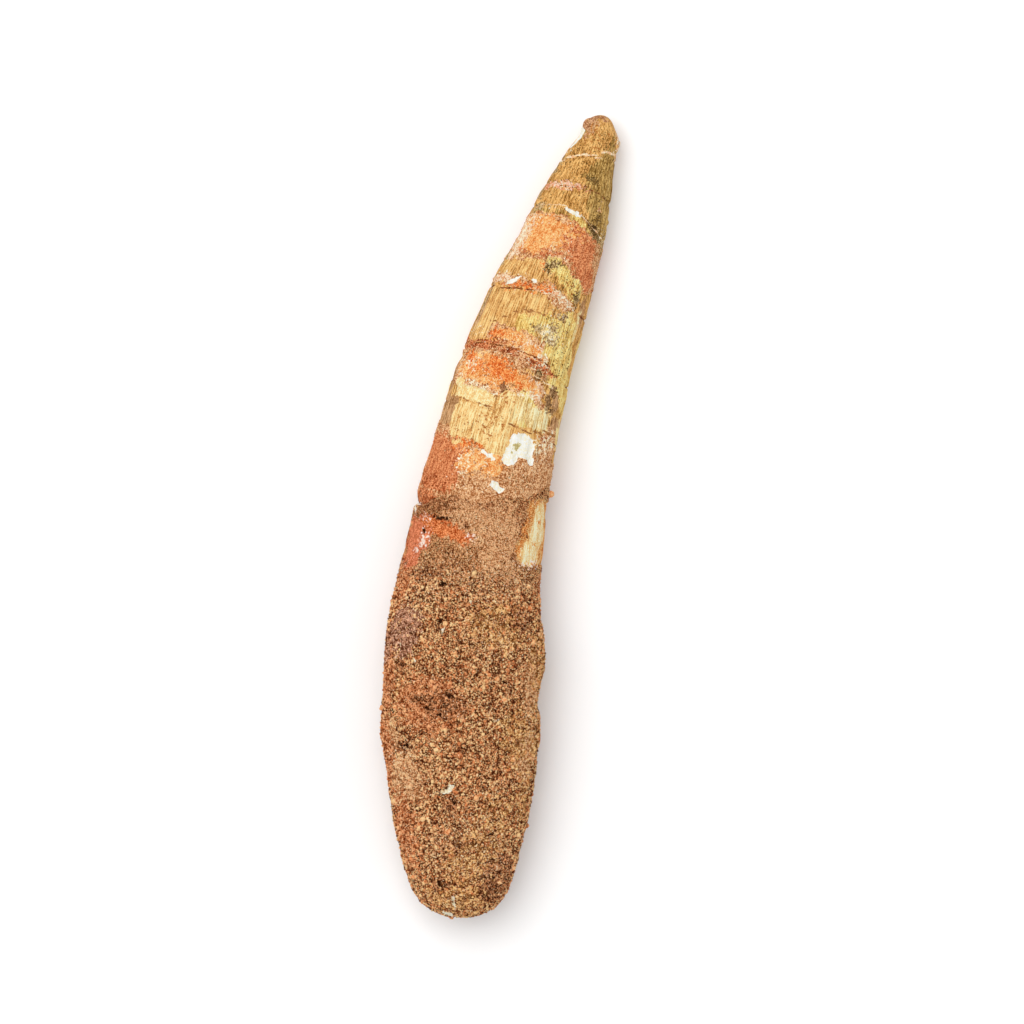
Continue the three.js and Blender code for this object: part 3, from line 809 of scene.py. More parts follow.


# How far the crust stands off the plain oval: big lumps, smaller ones, clumps and packed grit that grow
# coarser down the root, pits, smoother bare patches sunk in, and a lip that turns down at the rim. The relief
# shade that it adds to the fields is 0 in the hollows between clumps and 1 on top of them: painted shade that
# darkens the tones in the hollows.
def crustRaise(places, fields):
    along, turn, points = places["along"], places["turn"], places["points"]
    coarse = ramp(along, *crust["fineUpTo"])

    def growing(fineShare):
        return fineShare + (1 - fineShare) * coarse

    (clumpHeight, clumpSize), (gritHeight, gritSize) = crust["clumps"], crust["grit"]
    clumps, packed = grit(points, clumpSize), grit(points, gritSize)
    raised = layered(points, crust["lumps"]) * ramp(along, *crust["lumpsFrom"])
    raised += layered(points, crust["knobs"]) * growing(crust["fineKnobs"])
    raised += layered(points, crust["ripples"])
    bare = ramp(mostOf(fields, "patch", "window", "blush"), *crust["bareEdge"])
    rough = (packed * gritHeight + clumps * clumpHeight) * growing(crust["fineGrit"])
    smooth = layered(fibreAt(along, turn), crust["bareFibres"]) - crust["bareDepth"]
    raised += rough * (1 - bare) + smooth * bare + swellingAt(along, turn)
    raised -= crust["pitDepth"] * ramp(fields["shadedPits"], *crust["pitEdge"])
    endChips = ramp(fields["chips"], *crust["chipEdge"]) * ramp(along, *crust["chipsFrom"])
    raised -= crust["chipDepth"] * endChips
    fromRim = along - rimPlace(turn) + layered(points, crust["rimFray"])
    raised -= crust["lipDepth"] * (1 - ramp(fromRim, *crust["lipEdge"]))
    # painted shade: 0 in the hollows between clumps and 1 on top, which darkens the tones in the hollows
    hills = ramp(clumps + layered(points, crust["reliefStray"]), *crust["reliefRange"])
    fields["reliefShade"] = 0.5 + (hills - 0.5) * growing(crust["fineRelief"])
    fields["size"] = crust["fineGrains"] + (1 - crust["fineGrains"]) * coarse
    return raised


# The crust's grid, whose rows run from the rim to the end of the root.
def crustSkin():
    turn = columnTurns(crust["columns"])
    share = (np.arange(crust["rows"]) / (crust["rows"] - 1))[:, None]
    rim = rimPlace(turn)
    along = rim + (crust["end"] - rim) * (1 - (1 - share) ** crust["endCrowding"])
    return dressedSkin(along, turn, crust["finishes"], crustRaise, (crust["rimAlong"], tooth["axisLength"]))


# Grains of sand

grains = {
    # pieces, grains in each, smallest and largest radius, how much of a radius is sunk, middle tone, its
    # spread, and how much painted shade the surface's relief puts into the tone, darker in its hollows
    "fine": {
        "pieces": 3, "count": 24000, "radii": (0.11, 0.22), "sunk": 0.35, "tone": 0.5, "toneSpread": 0.46,
        "toneShadeFromRelief": 0.2,
    },
    "coarse": {
        "pieces": 1, "count": 9300, "radii": (0.16, 0.34), "sunk": 0.45, "tone": 0.55, "toneSpread": 0.36,
        "toneShadeFromRelief": 0.2,
    },
    "film": {
        "pieces": 1, "count": 11000, "radii": (0.1, 0.18), "sunk": 0.6, "tone": 0.6, "toneSpread": 0.34,
        "toneShadeFromRelief": 0,
    },
    "smallBias": 1.6,  # above 1 it makes small grains commoner than large ones
    "toneDrift": (0.15, 0.8),  # height and size of the noise that makes neighbours alike
    "stretch": (0.75, 1.3),  # a grain's shortest and longest axes, in radii
    "jitter": 0.3,  # how much of its distance a corner strays
    # how far inside the edges of bare places, film and clean enamel the sand ends or begins
    "bareEdge": (-0.1, 0.3),
    "filmEdge": (-0.3, 0.3),
    "cleanEdge": (-0.2, 0.1),
    "underneath": 0.4,  # how thickly the fine sand lies underneath, beside 1 on top
    "roughness": 0.85,
    "seed": 11,
}

octahedron = {
    "jitter": grains["jitter"],
    "isSmooth": False,
    "corners": np.array([(1, 0, 0), (-1, 0, 0), (0, 1, 0), (0, -1, 0), (0, 0, 1), (0, 0, -1)], float),
    "faces": np.array([
        (0, 2, 4), (2, 1, 4), (1, 3, 4), (3, 0, 4), (2, 0, 5), (1, 2, 5), (3, 1, 5), (0, 3, 5),
    ]),
}

golden = (1 + math.sqrt(5)) / 2
icosahedron = {
    "jitter": grains["jitter"],
    "isSmooth": False,
    "corners": np.array([
        (-1, golden, 0), (1, golden, 0), (-1, -golden, 0), (1, -golden, 0), (0, -1, golden), (0, 1, golden),
        (0, -1, -golden), (0, 1, -golden), (golden, 0, -1), (golden, 0, 1), (-golden, 0, -1), (-golden, 0, 1),
    ]) / math.hypot(1, golden),
    "faces": np.array([
        (0, 11, 5), (0, 5, 1), (0, 1, 7), (0, 7, 10), (0, 10, 11), (1, 5, 9), (5, 11, 4), (11, 10, 2),
        (10, 7, 6), (7, 1, 8), (3, 9, 4), (3, 4, 2), (3, 2, 6), (3, 6, 8), (3, 8, 9), (4, 9, 5), (2, 4, 11),
        (6, 2, 10), (8, 6, 7), (9, 8, 1),
    ]),
}


# Turning matrices that are evenly spread: unit quaternions from four bell-shaped numbers, written out.
def randomTurns(count, random):
    drawn = random.normal(size=(4, count))
    w, x, y, z = drawn / np.linalg.norm(drawn, axis=0)
    return np.stack([
        np.stack([1 - 2 * (y * y + z * z), 2 * (x * y - z * w), 2 * (x * z + y * w)], axis=-1),
        np.stack([2 * (x * y + z * w), 1 - 2 * (x * x + z * z), 2 * (y * z - x * w)], axis=-1),
        np.stack([2 * (x * z - y * w), 2 * (y * z + x * w), 1 - 2 * (x * x + y * y)], axis=-1),
    ], axis=1)


# Places spread over a skin's grid: cells are drawn by their area times the density there, and a place
# inside a cell mixes its four corners by two random shares.
def scatterOn(skin, density, count, random):
    points = skin["points"]
    nextColumn = np.roll(points, -1, axis=1)
    diagonal, otherDiagonal = nextColumn[1:] - points[:-1], points[1:] - nextColumn[:-1]
    normals = np.cross(otherDiagonal, diagonal)
    area = np.linalg.norm(normals, axis=-1)
    weights = np.cumsum((area * density[:-1]).ravel())
    drawn = (np.arange(count) + random.random(count)) / count * weights[-1]
    row, column = np.unravel_index(np.searchsorted(weights, drawn), area.shape)
    beside = (column + 1) % points.shape[1]
    u, v = random.random(count), random.random(count)

    def within(values):
        shape = (-1,) + (1,) * (values.ndim - 2)
        a, b = u.reshape(shape), v.reshape(shape)
        upper = values[row, column] * (1 - a) + values[row, beside] * a
        lower = values[row + 1, column] * (1 - a) + values[row + 1, beside] * a
        return upper * (1 - b) + lower * b

    normal = normals[row, column] / np.maximum(area[row, column], 1e-9)[:, None]
    return within(points), normal, {key: within(values) for key, values in skin["fields"].items()}


# Grains as one mesh: each is the plain shape with its corners strayed, stretched, turned at random and set at
# its place. Every grain has its own cell of the map, where its corners lie by their x and y.
def makeGrains(name, shape, centres, radii, fields, random):
    count, corners, faces = len(centres), shape["corners"], shape["faces"]
    strayed = corners * (1 + shape["jitter"] * random.uniform(-1, 1, (count, len(corners), 1)))
    sized = strayed * random.uniform(*grains["stretch"], (count, 1, 3)) * radii[:, None, None]
    points = np.einsum("nij,nkj->nki", randomTurns(count, random), sized) + centres[:, None, :]
    points[..., 2] = np.maximum(points[..., 2], 0)
    allFaces = (faces[None] + len(corners) * np.arange(count)[:, None, None]).reshape(-1, 3)
    side = math.ceil(math.sqrt(count))
    cell = np.stack([np.arange(count) % side, np.arange(count) // side], axis=-1)
    inCell = 0.5 + 0.42 * corners[:, :2] + 0.1 * corners[:, 2:]  # z moves a corner a little both ways
    mapPlaces = ((cell[:, None, None, :] + inCell[faces][None]) / side).reshape(-1, 3, 2)
    spread = {key: np.repeat(values, len(corners), axis=0) for key, values in fields.items()}
    return makePiece(name, points.reshape(-1, 3), allFaces, mapPlaces, spread, shape["isSmooth"])


# Grains set into a skin: each centre is lifted along the normal by its radius, less twice the part that is
# sunk. They keep the fields of the markings, which tint them, and get their own tones.
def setGrains(name, shape, spots, radii, tone, sunk, material, random):
    centres, normals, fields = spots
    lifted = centres + normals * (radii * (1 - 2 * sunk))[:, None]
    kept = {key: values for key, values in fields.items() if key in finishes}
    kept["tone"] = np.clip(tone, 0, 1)
    piece = makeGrains(name, shape, lifted, radii, kept, random)
    piece.data.materials.append(material)
    return piece


# Sand of one kind, scattered over a skin. A radius is the smallest plus a share of the range, which is a
# random number to the power of smallBias. Tones spread round the middle one, drift with noise, and are darker
# in the hollows of the relief as painted shade.
def addGrains(name, spec, shape, skin, density, material, random):
    made = []
    for number in range(1, spec["pieces"] + 1):
        spots = scatterOn(skin, density, spec["count"], random)
        centres, _, fields = spots
        share = random.uniform(0, 1, spec["count"]) ** grains["smallBias"]
        radii = (share * np.ptp(spec["radii"]) + spec["radii"][0]) * fields.get("size", 1)
        tone = random.normal(spec["tone"], spec["toneSpread"], spec["count"])
        tone += layered(centres, grains["toneDrift"])
        # painted shade: grains in the hollows of the relief are darker
        tone += spec["toneShadeFromRelief"] * (fields.get("reliefShade", 0.5) - 0.5)
        made.append(setGrains(f"{name}{number}", shape, spots, radii, tone, spec["sunk"], material, random))
    return made


# Pebbles in the crust

pebbles = {
    # along, around, radius, tone
    "placed": [
        (77.2, 89, 0.9, 0.62), (95.8, 4, 0.55, 0.85), (116.7, 26, 0.45, 0.6), (127.8, 16, 0.4, 0.8),
        (125.4, 27, 0.36, 0.95), (128, 47, 0.34, 0.9), (110.4, 22, 0.42, 0.7), (110.3, 39, 0.4, 0.75),
        (113.9, -37, 0.36, 0.95), (106.2, -15, 0.5, 0.75), (139.5, -3, 0.5, 0.4), (100.5, -52, 0.45, 0.7),
    ],
    "scattered": 150,
    "radii": (0.3, 0.6),
    "tone": 0.55,
    "toneSpread": 0.16,
    "sunk": 0.45,
    "jitter": 0.14,
}


# An icosahedron with every edge halved and pushed out to a ball: 80 faces.
def pebbleShape():
    corners, faces = icosahedron["corners"], icosahedron["faces"]
    edgesRound = np.sort(np.stack([faces, np.roll(faces, -1, axis=1)], axis=-1), axis=-1)
    halved, which = np.unique(edgesRound.reshape(-1, 2), axis=0, return_inverse=True)
    middles = corners[halved].sum(axis=1)
    middles /= np.linalg.norm(middles, axis=1, keepdims=True)
    ab, bc, ca = (which.reshape(-1, 3) + len(corners)).T
    a, b, c = faces.T
    split = [np.stack(face, axis=-1) for face in ((a, ab, ca), (ab, b, bc), (ca, bc, c), (ab, bc, ca))]
    return {
        "jitter": pebbles["jitter"],
        "isSmooth": True,
        "corners": np.concatenate([corners, middles]),
        "faces": np.concatenate(split),
    }


# The row and column of a skin's grid that is nearest to each place.
def nearestOn(skin, along, turn):
    columns = skin["along"].shape[1]
    column = np.round((turn + math.pi) / (2 * math.pi) * columns).astype(int) % columns
    return np.abs(skin["along"][:, column] - along).argmin(axis=0), column


# The placed pebbles, which no marking tints, and others scattered over the coarse crust.
def addPebbles(skin, density, material, random):
    along, around, radii, tone = np.array(pebbles["placed"]).T
    turn, count = np.radians(around), pebbles["scattered"]
    outward = surfacePoints(along, turn, 1) - surfacePoints(along, turn, 0)
    centres, normals, fields = scatterOn(skin, density, count, random)
    radii = np.append(radii, random.uniform(*pebbles["radii"], count))
    tone = np.append(tone, random.normal(pebbles["tone"], pebbles["toneSpread"], count))
    centres = np.append(skin["points"][nearestOn(skin, along, turn)], centres, axis=0)
    normals = np.append(outward, normals, axis=0)
    untinted = np.full(len(along), edges["farOutside"])
    tinted = {key: np.append(untinted, values) for key, values in fields.items() if key in finishes}
    spots = centres, normals, tinted
    return setGrains("pebbles", pebbleShape(), spots, radii, tone, pebbles["sunk"], material, random)


# Finishes

finishes = {
    # dark, middle and light tone, cover, raggedness and size of speckles in millimetres
    "honey": ((166, 108, 50), (236, 175, 102), (255, 218, 146), 1.1, 2.0, 0.6),
    # olive enamel, partly painted shade down the tooth's right side
    "oliveAndSideShade": ((110, 78, 26), (182, 140, 74), (232, 192, 118), 1.15, 2.6, 0.6),
    # brown strips, partly painted shade along the tooth's left edge
    "brownAndEdgeShade": ((116, 74, 36), (194, 142, 92), (240, 192, 142), 1.1, 1.4, 0.5),
    "strokes": ((118, 78, 32), (156, 108, 54), (190, 142, 84), 0.22, 1.6, 0.22),
    "mauve": ((138, 80, 44), (196, 136, 92), (240, 190, 144), 1.0, 1.6, 0.5),
    "film": ((152, 86, 44), (221, 155, 101), (255, 212, 163), 1.2, 1.2, 0.5),
    "brick": ((168, 82, 46), (220, 130, 80), (250, 172, 118), 1.0, 2.4, 0.7),
    "peach": ((222, 152, 100), (250, 206, 162), (255, 242, 214), 1.05, 1.8, 0.5),
    "orange": ((226, 134, 64), (255, 171, 99), (255, 218, 150), 0.95, 2.2, 0.6),
    "rust": ((208, 90, 34), (252, 136, 64), (255, 184, 110), 0.9, 2.0, 0.5),
    "yellow": ((180, 132, 58), (245, 201, 112), (255, 240, 162), 1.2, 1.0, 0.5),
    "tan": ((198, 138, 70), (255, 208, 136), (255, 240, 178), 1.25, 0.5, 0.4),
    "frost": ((202, 158, 96), (252, 224, 158), (255, 250, 206), 0.8, 1.6, 0.4),
    "dots": ((160, 92, 38), (196, 124, 62), (220, 152, 88), 0.34, 1.4, 0.6),
    # grey stains, partly painted shade on the tooth's edges
    "greyStainAndEdgeShade": ((122, 92, 54), (184, 150, 102), (230, 198, 146), 0.85, 1.8, 0.5),
    "smoke": ((84, 56, 28), (138, 98, 60), (192, 150, 104), 1.0, 1.2, 0.4),
    "maroon": ((112, 42, 14), (196, 98, 52), (250, 168, 114), 0.85, 1.4, 0.4),
    "cream": ((242, 192, 126), (255, 226, 154), (255, 248, 198), 1.4, 0.5, 0.4),
    "salt": ((252, 210, 156), (255, 244, 204), (255, 254, 236), 0.52, 1.4, 0.5),
    "specks": ((252, 206, 156), (255, 238, 200), (255, 252, 232), 0.24, 1.4, 0.4),
    "spot": ((112, 66, 38), (150, 98, 62), (190, 136, 94), 1.2, 0.5, 0.4),
    "pepper": ((84, 56, 20), (112, 80, 36), (150, 114, 62), 0.3, 1.6, 0.36),
    "soot": ((58, 42, 18), (104, 80, 42), (156, 124, 76), 0.7, 1.2, 0.34),
    "darkLines": ((84, 40, 16), (134, 76, 38), (184, 116, 68), 1.0, 0.26, 0.9),
    "softLines": ((142, 88, 44), (174, 116, 66), (206, 150, 94), 0.9, 0.3, 0.9),
    "paleLines": ((240, 176, 122), (255, 222, 174), (255, 248, 218), 1.0, 0.24, 0.7),
    "pink": ((208, 122, 78), (250, 174, 130), (255, 226, 200), 0.95, 1.2, 0.4),
    "chalk": ((255, 244, 212), (255, 255, 244), (255, 255, 252), 1.8, 0.4, 0.5),
    "stain": ((190, 168, 104), (222, 206, 146), (244, 234, 190), 0.9, 0.5, 0.5),
    "pale": ((150, 92, 50), (238, 166, 112), (255, 214, 162), 0.85, 4.0, 0.8),
    "ochre": ((122, 72, 30), (222, 150, 88), (255, 206, 138), 0.62, 4.0, 0.9),
    "red": ((122, 54, 20), (216, 128, 76), (255, 188, 132), 0.9, 4.0, 0.9),
    "plum": ((104, 56, 34), (182, 122, 88), (238, 182, 148), 0.85, 3.0, 0.9),
    # dark grit, partly painted shade along the rim's ledge
    "darkGritAndRimShade": ((62, 26, 8), (138, 80, 42), (222, 152, 104), 0.7, 2.0, 0.6),
    "glints": ((255, 206, 152), (255, 230, 186), (255, 248, 218), 0.2, 2.4, 0.26),
    "dust": ((250, 194, 140), (255, 224, 178), (255, 248, 214), 0.24, 2.4, 0.34),
    "patch": ((154, 60, 20), (226, 118, 62), (255, 170, 110), 1.1, 1.4, 0.6),
    "blush": ((164, 76, 42), (230, 126, 84), (255, 166, 120), 1.1, 1.8, 0.5),
    "window": ((190, 112, 50), (248, 174, 100), (255, 228, 162), 1.25, 0.7, 0.5),
    "bone": ((240, 184, 112), (255, 234, 172), (255, 252, 218), 0.95, 1.4, 0.45),
    "rind": ((186, 96, 36), (246, 150, 76), (255, 208, 136), 0.8, 1.4, 0.5),
    "flecks": ((252, 204, 176), (255, 236, 218), (255, 252, 244), 0.55, 1.4, 0.5),
    # holes painted near black: painted shade inside them
    "shadedPits": ((24, 8, 2), (48, 20, 8), (90, 48, 24), 1.0, 0.5, 0.4),
    "chips": ((244, 222, 178), (255, 250, 222), (255, 255, 244), 1.2, 0.4, 0.4),
}

fibrousFinishes = ("honey", "oliveAndSideShade", "brownAndEdgeShade", "strokes", "yellow", "tan", "frost", "window", "bone")
toneStops = (0.15, 0.5, 0.85)  # where a finish's dark, middle and light tones lie
coverEdge = 0.15  # how softly a speckle ends, as a share of the speckles

grounds = {
    "enamel": ((132, 88, 32), (218, 157, 84), (255, 204, 128)),
    "crust": ((64, 26, 8), (160, 96, 54), (234, 166, 112)),
    "grains": ((78, 32, 10), (240, 145, 88), (255, 213, 153)),
}


# A tone as it looks on the stage, 0 to 255, as the share of light that it gives back there: a screen's usual
# curve undone, over the brightness of the stage.
def lightOf(tone):
    parts = [part / 255 for part in tone]
    light = [part / 12.92 if part <= 0.04045 else ((part + 0.055) / 1.055) ** 2.4 for part in parts]
    return tuple(part / stage["brightness"] for part in light) + (1.0,)


# A shader node with its settings, and with values or other nodes' outputs put into its inputs.
def addNode(tree, kind, inputs, **settings):
    node = tree.nodes.new("ShaderNode" + kind)
    for name, value in settings.items():
        setattr(node, name, value)
    for name, value in inputs.items():
        if isinstance(value, bpy.types.NodeSocket):
            tree.links.new(value, node.inputs[name])
        else:
            node.inputs[name].default_value = value
    return node


def readField(tree, name, output="Fac"):
    return addNode(tree, "Attribute", {}, attribute_name=name).outputs[output]


# A value carried from one range to another, in a straight line or easing in and out, and clipped to it.
def stretched(tree, value, start, end, low=0.0, high=1.0, isSmooth=False):
    inputs = {"Value": value, "From Min": start, "From Max": end, "To Min": low, "To Max": high}
    kind = "SMOOTHSTEP" if isSmooth else "LINEAR"
    return addNode(tree, "MapRange", inputs, interpolation_type=kind).outputs[0]


# Noise of a size in the units of where it is read, stretched so that it fills 0 to 1. The spread is how far
# from the middle the noise goes before it is clipped.
def speckle(tree, where, size, seed, spread=0.2, detail=2.0):
    inputs = {"Vector": where, "W": seed, "Scale": 1 / size, "Detail": detail}
    raw = addNode(tree, "TexNoise", inputs, noise_dimensions="4D").outputs[0]
    return stretched(tree, raw, 0.5 - spread, 0.5 + spread)


def combine(tree, operation, a, b=0.0):
    return addNode(tree, "Math", {0: a, 1: b}, operation=operation).outputs[0]


# One colour over another by a share. On this node the colours are inputs 6 and 7 and output 2.
def mixed(tree, share, under, over):
    return addNode(tree, "Mix", {0: share, 6: under, 7: over}, data_type="RGBA").outputs[2]


# A dark, a middle and a light tone, picked by a value from 0 to 1.
def pickTone(tree, value, tones):
    node = addNode(tree, "ValToRGB", {"Fac": value})
    stops = node.color_ramp.elements
    stops.new(0.5)
    for stop, place, tone in zip(stops, toneStops, tones):
        stop.position = place
        stop.color = lightOf(tone)
    return node.outputs[0]


# How much a finish covers each place: its field, turned into the share of speckles that it takes there.
def coverOf(tree, name, where, seed):
    cover, ragged, size = finishes[name][3:]
    level = stretched(tree, readField(tree, name), -ragged / 2, ragged / 2, 0, cover)
    over = combine(tree, "SUBTRACT", level, speckle(tree, where, size, seed))
    return stretched(tree, over, 0, coverEdge, isSmooth=True)


# Lays the named finishes over a ground colour, one after another. The fibrous ones are torn along the fibres
# and take their tones from them, and the others are sandy.
def layFinishes(tree, ground, names, where, sandy, fibre=None, fibrous=None):
    colour = ground
    for order, name in enumerate(names):
        isFibrous = name in fibrousFinishes and fibre is not None
        cover = coverOf(tree, name, fibre if isFibrous else where, seed=1.7 * order)
        tones = pickTone(tree, fibrous if isFibrous else sandy, finishes[name][:3])
        colour = mixed(tree, cover, colour, tones)
    return colour


# A new material's tree and shader, and where it is read: the piece's own place in millimetres.
def startMaterial(name):
    material = bpy.data.materials.new(name)
    material.use_nodes = True
    tree = material.node_tree
    tree.nodes.clear()
    output = addNode(tree, "OutputMaterial", {})
    shader = addNode(tree, "BsdfPrincipled", {"Specular IOR Level": tooth["gloss"]})
    tree.links.new(shader.outputs[0], output.inputs["Surface"])
    place = addNode(tree, "TexCoord", {}).outputs["Object"]
    where = addNode(tree, "Mapping", {"Scale": (1 / metresPerMm,) * 3, "Vector": place}).outputs[0]
    return material, tree, shader, where


# Bumps as high as a distance in millimetres.
def bumpOn(tree, shader, height, distance):
    bump = addNode(tree, "Bump", {"Height": height, "Distance": distance * metresPerMm})
    tree.links.new(bump.outputs[0], shader.inputs["Normal"])


# Several values added by their weights. Their sum keeps near its middle, so the middle three fifths of it are
# stretched to fill 0 to 1.
def blend(tree, *weighted):
    parts = [combine(tree, "MULTIPLY", value, weight) for value, weight in weighted]
    total = parts[0]
    for part in parts[1:]:
        total = combine(tree, "ADD", total, part)
    whole = sum(weight for _, weight in weighted)
    return stretched(tree, total, 0.2 * whole, 0.8 * whole)


# Painted shade of fine grooves that run lengthwise, which the mesh doesn't carry, from 0 in a groove to 1
# between
# two: the root of half a cosine of the turn, which sways.
def grooveShade(tree, fibre, count):
    parts = addNode(tree, "SeparateXYZ", {0: fibre}).outputs
    turn = combine(tree, "ARCTAN2", parts[0], parts[1])
    phase = combine(tree, "ADD", combine(tree, "MULTIPLY", turn, count), readField(tree, "sway"))
    return combine(tree, "SQRT", stretched(tree, combine(tree, "COSINE", phase), -1, 1))


# Fine sand and its broader patches, which both skins share.
def sandSpeckles(tree, where, seed):
    fine = speckle(tree, where, size=0.22, seed=seed, spread=0.13, detail=1.0)
    return fine, speckle(tree, where, size=0.9, seed=9.4)


# Enamel with fine broken fibres and painted shade of grooves along it, under films and stains.
def crownFinish():
    material, tree, shader, where = startMaterial("fossilCrown")
    fibre = readField(tree, "fibre", "Vector")
    threads = speckle(tree, fibre, size=0.22, seed=3.3, spread=0.16)
    frayed = speckle(tree, fibre, size=0.3, seed=1.4)
    blotches = speckle(tree, where, size=2.6, seed=8.1)
    fine, patches = sandSpeckles(tree, where, seed=5.2)
    # painted shade of the fine grooves, darker in each groove
    wideGrooveShade, narrowGrooveShade = (grooveShade(tree, fibre, count) for count in crown["shadedStriae"])
    fibrous = blend(tree, (wideGrooveShade, 0.12), (narrowGrooveShade, 0.12), (threads, 0.36), (fine, 0.2), (blotches, 0.2))
    sandy = blend(tree, (fine, 0.45), (patches, 0.3), (frayed, 0.25))
    ground = pickTone(tree, fibrous, grounds["enamel"])
    colour = layFinishes(tree, ground, crown["finishes"], where, sandy, fibre, fibrous)
    tree.links.new(colour, shader.inputs["Base Color"])
    roughness = stretched(tree, readField(tree, "film"), -0.5, 0.5, *crown["roughness"])
    tree.links.new(roughness, shader.inputs["Roughness"])
    bumpOn(tree, shader, combine(tree, "ADD", fibrous, fine), crown["bump"])
    return material


# The sandy ground between the crust's grains, with painted shade in the hollows between clumps, and the bone
# that shows through.
def crustFinish():
    material, tree, shader, where = startMaterial("fossilCrust")
    fibre = readField(tree, "fibre", "Vector")
    threads = speckle(tree, fibre, size=0.26, seed=6.1, spread=0.16)
    fine, patches = sandSpeckles(tree, where, seed=2.4)
    # the relief darkens the ground in the hollows between clumps as painted shade
    sandy = blend(tree, (fine, 0.55), (readField(tree, "reliefShade"), 0.2), (patches, 0.25))
    fibrous = blend(tree, (threads, 0.6), (fine, 0.4))
    ground = pickTone(tree, sandy, grounds["crust"])
    colour = layFinishes(tree, ground, crust["finishes"], where, sandy, fibre, fibrous)
    tree.links.new(colour, shader.inputs["Base Color"])
    shader.inputs["Roughness"].default_value = crust["roughness"]
    bumpOn(tree, shader, fine, crust["bump"])
    return material


# Sand whose every grain has its own tone, tinted by the markings that it lies in.
def grainFinish(name, markingNames):
    material, tree, shader, where = startMaterial(name)
    mottle = speckle(tree, where, size=0.3, seed=4.6, spread=0.16, detail=1.0)
    tone = blend(tree, (readField(tree, "tone"), 0.75), (mottle, 0.25))
    colour = layFinishes(tree, pickTone(tree, tone, grounds["grains"]), markingNames, where, tone)
    tree.links.new(colour, shader.inputs["Base Color"])
    shader.inputs["Roughness"].default_value = grains["roughness"]
    return material


# Building the pieces

# The crown's and the crust's skins, each with its finish.
def buildSkins(crownGrid, crustGrid):
    pieces = []
    for name, skin, spec, material in (
        ("crown", crownGrid, crown, crownFinish()), ("crust", crustGrid, crust, crustFinish()),
    ):
        made = makeSkin(name, skin, spec["pieces"])
        for piece in made:
            piece.data.materials.append(material)
        print(name, sum(len(piece.data.polygons) for piece in made), "triangles")
        pieces += made
    return pieces


# The sand and the pebbles. None lie on bare places. The fine sand is thicker by the power 1.5 where its
# grains are smaller, and thinner underneath by the cosine of the turn. The film's sand keeps off clean
# enamel.
def buildSand(crownGrid, crustGrid, random):
    crustSand = grainFinish("crustSand", crust["finishes"])
    filmSand = grainFinish("filmSand", crown["finishes"])
    crownFields, crustFields = crownGrid["fields"], crustGrid["fields"]
    bare = ramp(mostOf(crustFields, "patch", "window", "blush", "shadedPits", "chips"), *grains["bareEdge"])
    middle = (1 + grains["underneath"]) / 2
    onTop = middle + (1 - middle) * np.cos(crustGrid["turn"])
    everywhere = (1 - bare) * crustFields["size"] ** -1.5 * onTop
    coarse = (1 - bare) * ramp(crustGrid["along"], *crust["fineUpTo"])
    clean = ramp(mostOf(crownFields, "tan", "yellow", "chalk", "cream"), *grains["cleanEdge"])
    filmed = ramp(crownFields["film"], *grains["filmEdge"]) * (1 - clean)
    pieces = addGrains("fineSand", grains["fine"], octahedron, crustGrid, everywhere, crustSand, random)
    pieces += addGrains("coarseSand", grains["coarse"], icosahedron, crustGrid, coarse, crustSand, random)
    pieces += addGrains("filmSand", grains["film"], octahedron, crownGrid, filmed, filmSand, random)
    pieces.append(addPebbles(crustGrid, coarse, crustSand, random))
    print("grains", sum(len(piece.data.polygons) for piece in pieces), "triangles")
    return pieces


def buildTooth():
    crownGrid, crustGrid = crownSkin(), crustSkin()
    pieces = buildSkins(crownGrid, crustGrid)
    pieces += buildSand(crownGrid, crustGrid, np.random.default_rng(grains["seed"]))
    for piece in pieces:
        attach(piece, "root")
        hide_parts("tooth")


# The stage

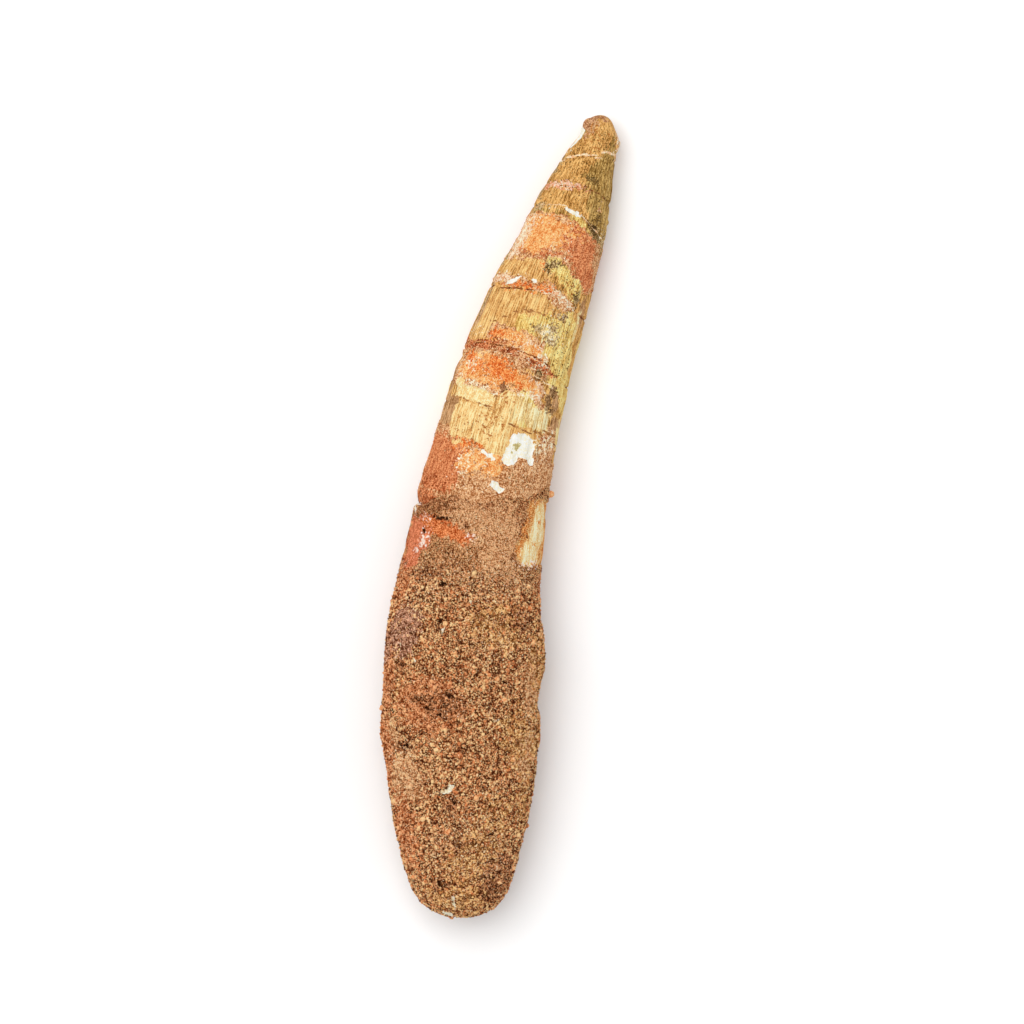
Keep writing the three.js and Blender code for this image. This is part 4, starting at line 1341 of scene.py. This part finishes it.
stage = {
    "floorSize": 4.0,  # metres, as the rest of the stage
    "floorDrop": 0.0002,
    "floorTone": 0.96,
    "skyLight": 0.72,
    "lampPlace": (-0.24, 0.26, 1.0),
    "lampSize": 0.8,
    "lampPower": 6.8,
    "brightness": 1.22,  # how much light a white surface gives back under this sky and lamp
    "lens": 200.0,  # millimetres, as the sensor
    "sensor": 36.0,
    "viewWidth": 0.2048,
    "viewMiddle": (0.0025, 0.0007, 0.012),
}


# A square floor just under the tooth, plain and pale.
def makeFloor():
    half, level = stage["floorSize"] / 2, -stage["floorDrop"]
    corners = [(-half, -half, level), (half, -half, level), (half, half, level), (-half, half, level)]
    mesh = bpy.data.meshes.new("floor")
    mesh.from_pydata(corners, [], [(0, 1, 2, 3)])
    paint = bpy.data.materials.new("floorPaint")
    paint.use_nodes = True
    shader = paint.node_tree.nodes["Principled BSDF"]
    shader.inputs["Base Color"].default_value = (stage["floorTone"],) * 3 + (1,)
    shader.inputs["Roughness"].default_value = 1.0
    shader.inputs["Specular IOR Level"].default_value = 0.0
    mesh.materials.append(paint)
    addToScene("floor", mesh)


# An even sky, and a square soft lamp that faces the middle of the view.
def makeLight():
    world = bpy.data.worlds.new("studio")
    bpy.context.scene.world = world
    world.use_nodes = True
    sky = world.node_tree.nodes["Background"]
    sky.inputs["Color"].default_value = (1, 1, 1, 1)
    sky.inputs["Strength"].default_value = stage["skyLight"]
    lamp = bpy.data.lights.new("softbox", "AREA")
    lamp.size = stage["lampSize"]
    lamp.energy = stage["lampPower"]
    softbox = addToScene("softbox", lamp)
    softbox.location = stage["lampPlace"]
    facing = Vector(stage["viewMiddle"]) - softbox.location
    softbox.rotation_euler = facing.to_track_quat("-Z", "Y").to_euler()


# Straight above, with the tooth's length up the picture, and as high as the lens needs for the view's width.
def makeCamera():
    lens = bpy.data.cameras.new("camera")
    lens.lens = stage["lens"]
    lens.sensor_width = stage["sensor"]
    camera = addToScene("camera", lens)
    x, y, z = stage["viewMiddle"]
    camera.location = (x, y, z + stage["viewWidth"] * stage["lens"] / stage["sensor"])
    bpy.context.scene.camera = camera
    bpy.context.scene.view_settings.view_transform = "Standard"


buildTooth()
makeFloor()
makeLight()
makeCamera()
print("stage ready")
